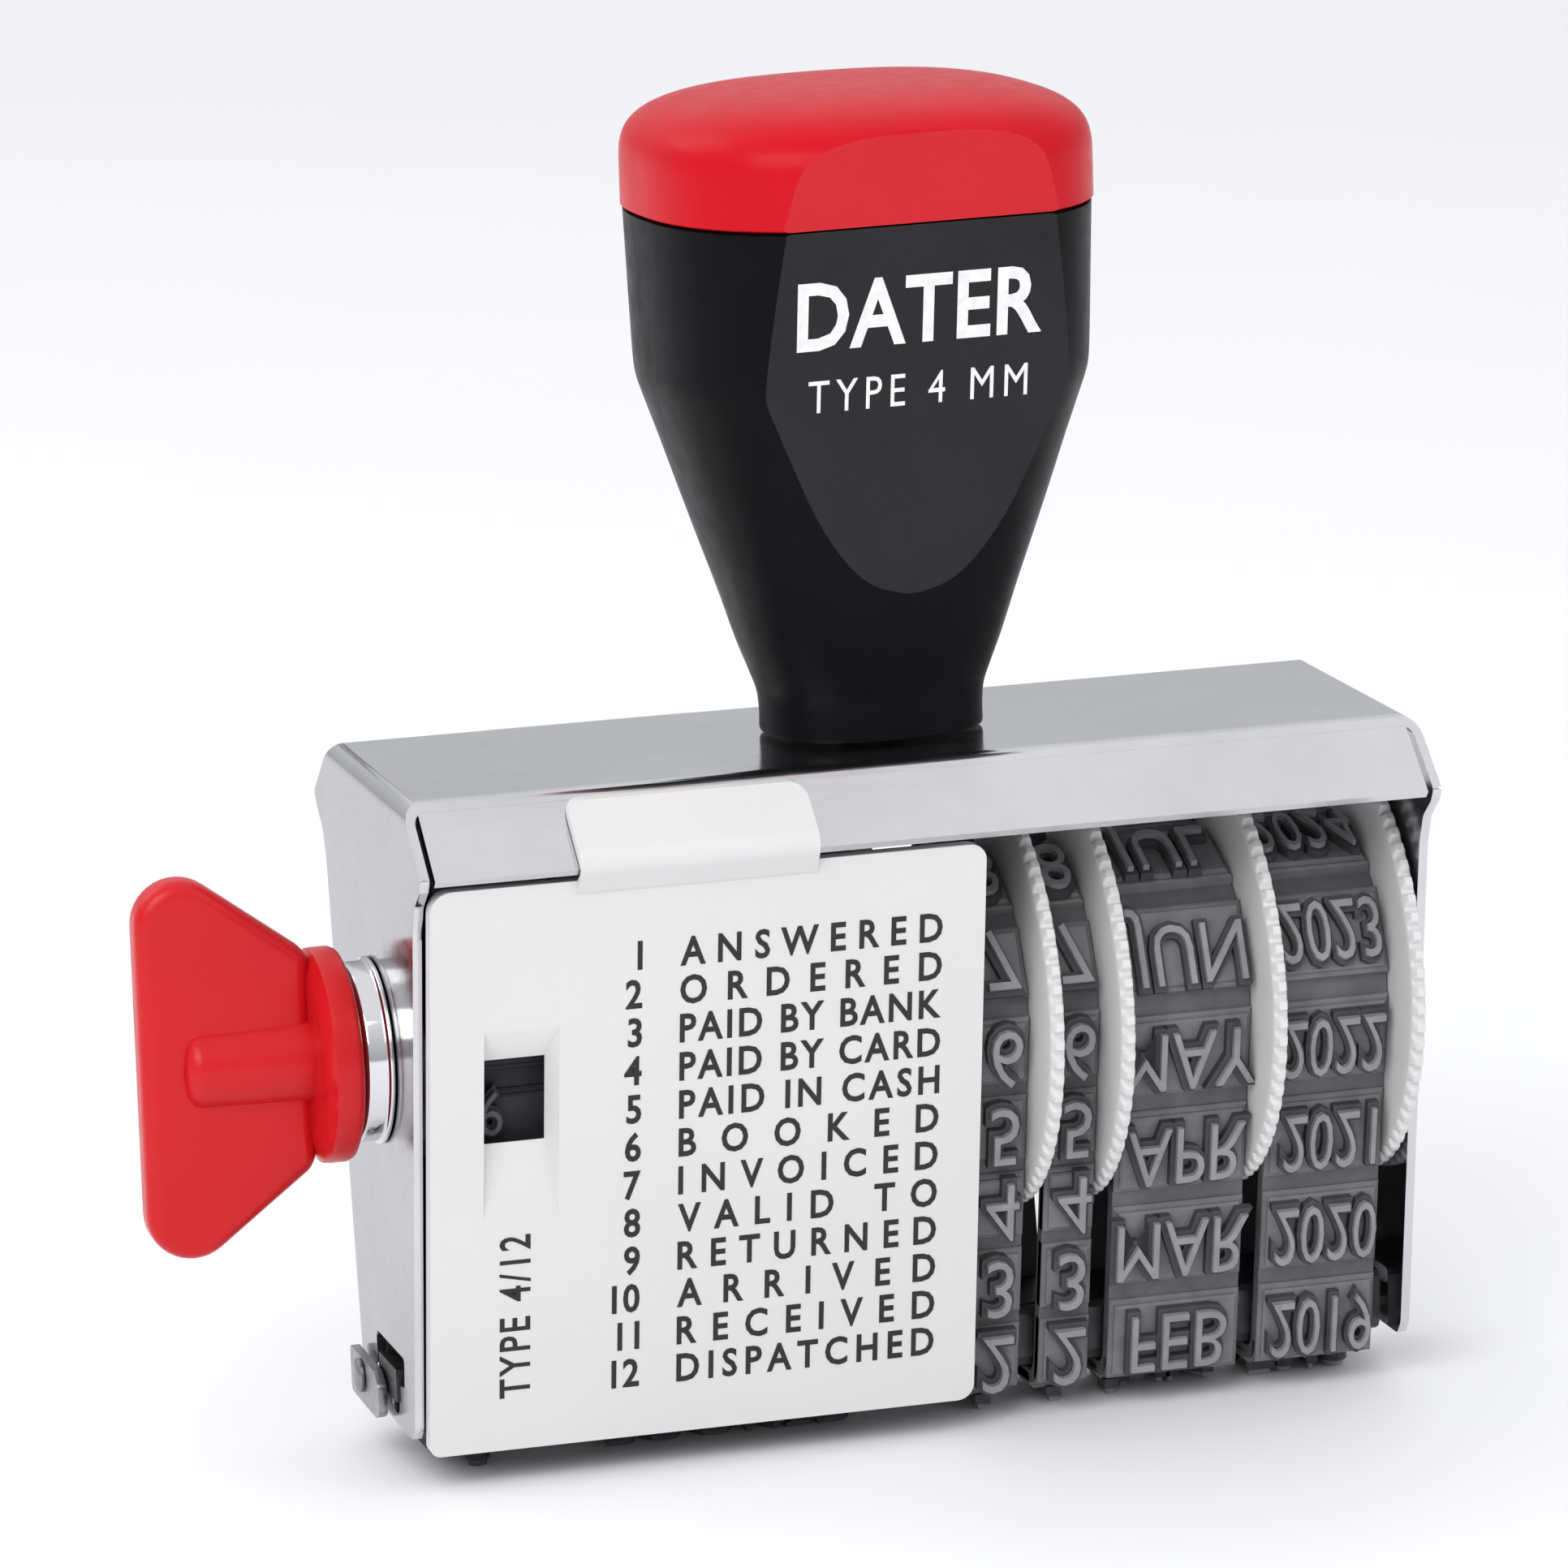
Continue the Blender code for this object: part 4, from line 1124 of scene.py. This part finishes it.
def knob(paint):
    """A flat wing with a round boss along its middle, and a round flange against the collar."""
    outer = KNOB_LOW.x
    ring_left = KNOB_HIGH.x - 1.85
    ring_right = KNOB_HIGH.x + 0.25
    corners = [(ring_left, RING_RADIUS, 0.0), (outer, WING_TIP, 3.0), (outer, -WING_TIP, 3.0),
               (ring_left, -RING_RADIUS, 0.0)]
    outline = rounded([(x, AXLE_Z + z, r) for x, z, r in corners], 14)
    wing = solid(prism("knob", [outline], -WING_HALF_THICKNESS, WING_HALF_THICKNESS, ALONG_Y))
    soften(wing, 1.0, 6)
    tip = -46.9
    boss = [(tip, AXIS_GAP), (tip, 1.6), (tip + 0.2, 2.25), (tip + 0.6, 2.65), (tip + 1.1, BOSS_RADIUS),
            (ring_left + 0.5, BOSS_RADIUS + 0.15), (ring_left + 0.5, AXIS_GAP)]
    combine(wing, lathe("boss", boss, 48), "UNION")
    ring = [(ring_left - 0.35, AXIS_GAP), (ring_left - 0.35, 5.4), (ring_left - 0.1, 6.3),
            (ring_left + 0.25, 6.95), (ring_left + 0.6, RING_RADIUS), (ring_right - 0.45, RING_RADIUS),
            (ring_right - 0.12, 6.85), (ring_right, 6.6), (ring_right, 3.55), (ring_right - 1.6, 3.5),
            (ring_right - 1.6, AXIS_GAP)]
    combine(wing, lathe("ring", ring, 72), "UNION")
    soften(wing, 0.22, 3, 46.0)
    piece("wing_knob", wing, [paint["knob"]], "knob", smooth_below=48.0)


def collar(paint):
    """A bright drum with a thin rim where it meets the end plate."""
    low = COLLAR_LOW.x + 0.2
    high = -HALF_LENGTH - 0.03
    bore = 4.0
    drum = 5.85
    rim = 6.12
    profile = [(low, bore), (low, drum - 0.25), (low + 0.15, drum - 0.07), (low + 0.35, drum),
               (high - 0.55, drum), (high - 0.42, drum + 0.04), (high - 0.36, rim - 0.08),
               (high - 0.28, rim), (high - 0.12, rim), (high, rim - 0.12), (high, bore)]
    piece("collar_ring", lathe("collar_ring", profile, 128, closed=True), [paint["collar"]],
          "knob_collar", smooth_below=60.0)


# Bridge, clips and fasteners

def clip(side, paint):
    """A pressed plate riveted over the end of the bridge, beside the opening in the end plate."""
    label = "left" if side < 0 else "right"
    clip_node = f"clip_{label}"
    rivet_node = f"clip_rivet_{label}"
    low, high = box_mm(clip_node)
    base = FRAME_BOTTOM
    rivet_centre = (4.0, base + 1.7)
    outline = rounded([(7.0, base - 0.1, 0.5), (7.1, base + 3.0, 0.35), (0.4, base + 2.9, 0.5),
                       (-0.7, base + 2.2, 0.6), (-0.9, base + 0.3, 0.6), (0.2, base - 0.2, 0.5)])
    hole = circle(0.75, 24, rivet_centre)
    plate = solid(prism(clip_node, [outline, hole], low.x, high.x, ALONG_X))
    soften(plate, 0.1, 2)
    piece(f"{label}_clip", plate, [paint["steel"]], clip_node)
    ends = [corner.x for corner in box_mm(rivet_node)]
    inner, outer = reversed(ends) if side < 0 else ends
    head = outer - side * 0.45
    shank = 0.6
    profile = [(inner, AXIS_GAP), (inner, shank), (head, shank), (head, 1.15), (head + side * 0.15, 1.15),
               (head + side * 0.3, 1.0), (head + side * 0.4, 0.7), (outer, 0.35), (outer, AXIS_GAP)]
    piece(f"{label}_rivet", lathe("rivet", profile, 32, centre=rivet_centre), [paint["steel"]],
          rivet_node)


def axle(paint):
    """The fixed rod, with its head outside the right end plate."""
    left = AXLE_LOW.x
    head = HALF_LENGTH + 0.3
    right = AXLE_HIGH.x
    rod = 1.5
    head_radius = 2.6
    profile = [(left, AXIS_GAP), (left, rod - 0.4), (left + 0.4, rod), (head, rod), (head, head_radius),
               (head + 0.35, head_radius), (head + 0.65, head_radius - 0.25),
               (head + 0.85, head_radius - 0.8), (right, 1.0), (right - 0.12, 0.6), (right - 0.15, AXIS_GAP)]
    piece("axle_rod", lathe("axle_rod", profile, 48), [paint["steel"]], "axle")


def carried_over(paint):
    """Finishes for the CAD nodes that are shown as they are."""
    # The bridge takes the dark steel, which paints the shade in the gaps between the bands
    for name, finish in (("bridge", "dark_steel"), ("handle_screw", "steel"), ("handle_washer", "zinc")):
        item = frame["nodes"][name]
        item.data.materials.clear()
        item.data.materials.append(paint[finish])


# Studio

def floor(paint):
    half = 6000.0
    z = -0.03
    corners = [(-half, -half, z), (half, -half, z), (half, half, z), (-half, half, z)]
    mesh = mesh_from("studio_floor", corners, [(0, 1, 2, 3)])
    item = solid(mesh)
    mesh.materials.append(paint["floor"])


def sky():
    """Soft surround: grey at the horizon and nearly white overhead."""
    world = bpy.data.worlds.new("studio")
    bpy.context.scene.world = world
    world.use_nodes = True
    tree = world.node_tree
    place = node(tree, "ShaderNodeTexCoord")
    parts = node(tree, "ShaderNodeSeparateXYZ")
    tree.links.new(place.outputs["Generated"], parts.inputs["Vector"])
    colour_ramp(tree, parts.outputs["Z"], (0.02, (0.50, 0.505, 0.53)), (0.85, (0.98, 0.98, 1.0)),
                tree.nodes["Background"].inputs["Color"])


def softbox(name, where, size, power):
    """A flat light aimed at the middle of the stamp; place and size in mm."""
    light = bpy.data.lights.new(name, "AREA")
    light.shape = "RECTANGLE"
    light.size, light.size_y = [value * MM for value in size]
    light.energy = power
    item = bpy.data.objects.new(name, light)
    item.location = Vector(where) * MM
    aim = Vector((0.0, 0.0, 40.0)) * MM - item.location
    item.rotation_euler = aim.to_track_quat("-Z", "Y").to_euler()
    bpy.context.scene.collection.objects.link(item)


def lights():
    softbox("key", (-420.0, -520.0, 520.0), (560.0, 460.0), 2.9)
    softbox("fill", (560.0, -480.0, 330.0), (420.0, 520.0), 0.7)
    softbox("top", (-500.0, 420.0, 620.0), (500.0, 500.0), 1.2)


def camera():
    """A long lens from the front left, a little above."""
    data = bpy.data.cameras.new("view")
    data.lens = 193.65
    data.sensor_width = 36.0
    data.clip_start = 0.01
    data.clip_end = 50.0
    position = Vector((-150.71, -517.01, 157.78))
    target = Vector((-6.02, 0.0, 42.79))
    roll = math.radians(1.7655)
    back = (position - target).normalized()
    level = Vector((0.0, 0.0, 1.0)).cross(back).normalized()
    upright = back.cross(level)
    up = upright * math.cos(roll) + level * math.sin(roll)
    right = level * math.cos(roll) - upright * math.sin(roll)
    item = bpy.data.objects.new("view", data)
    axes = Matrix((right, up, back)).transposed().to_4x4()
    item.matrix_world = Matrix.Translation(position * MM) @ axes
    bpy.context.scene.collection.objects.link(item)
    bpy.context.scene.camera = item


def main():
    paint = make_materials()
    frame_sheet(paint)
    cover_panel("front_cover_panel", -1, paint)
    cover_panel("rear_cover_panel", 1, paint)
    legend_print(paint)
    for name, strap in (("wheel_day_tens", "band_day_tens"), ("wheel_day_units", "band_day_units"),
                        ("wheel_month", "band_month"), ("wheel_year", "band_year")):
        wheel(name, strap, paint)
    phrase_drum(paint)
    bands(paint)
    handle(paint)
    cap(paint)
    handle_print(paint)
    knob(paint)
    collar(paint)
    clip(-1, paint)
    clip(1, paint)
    axle(paint)
    carried_over(paint)
    floor(paint)
    sky()
    lights()
    camera()
    bpy.context.scene.view_settings.view_transform = "Standard"


main()
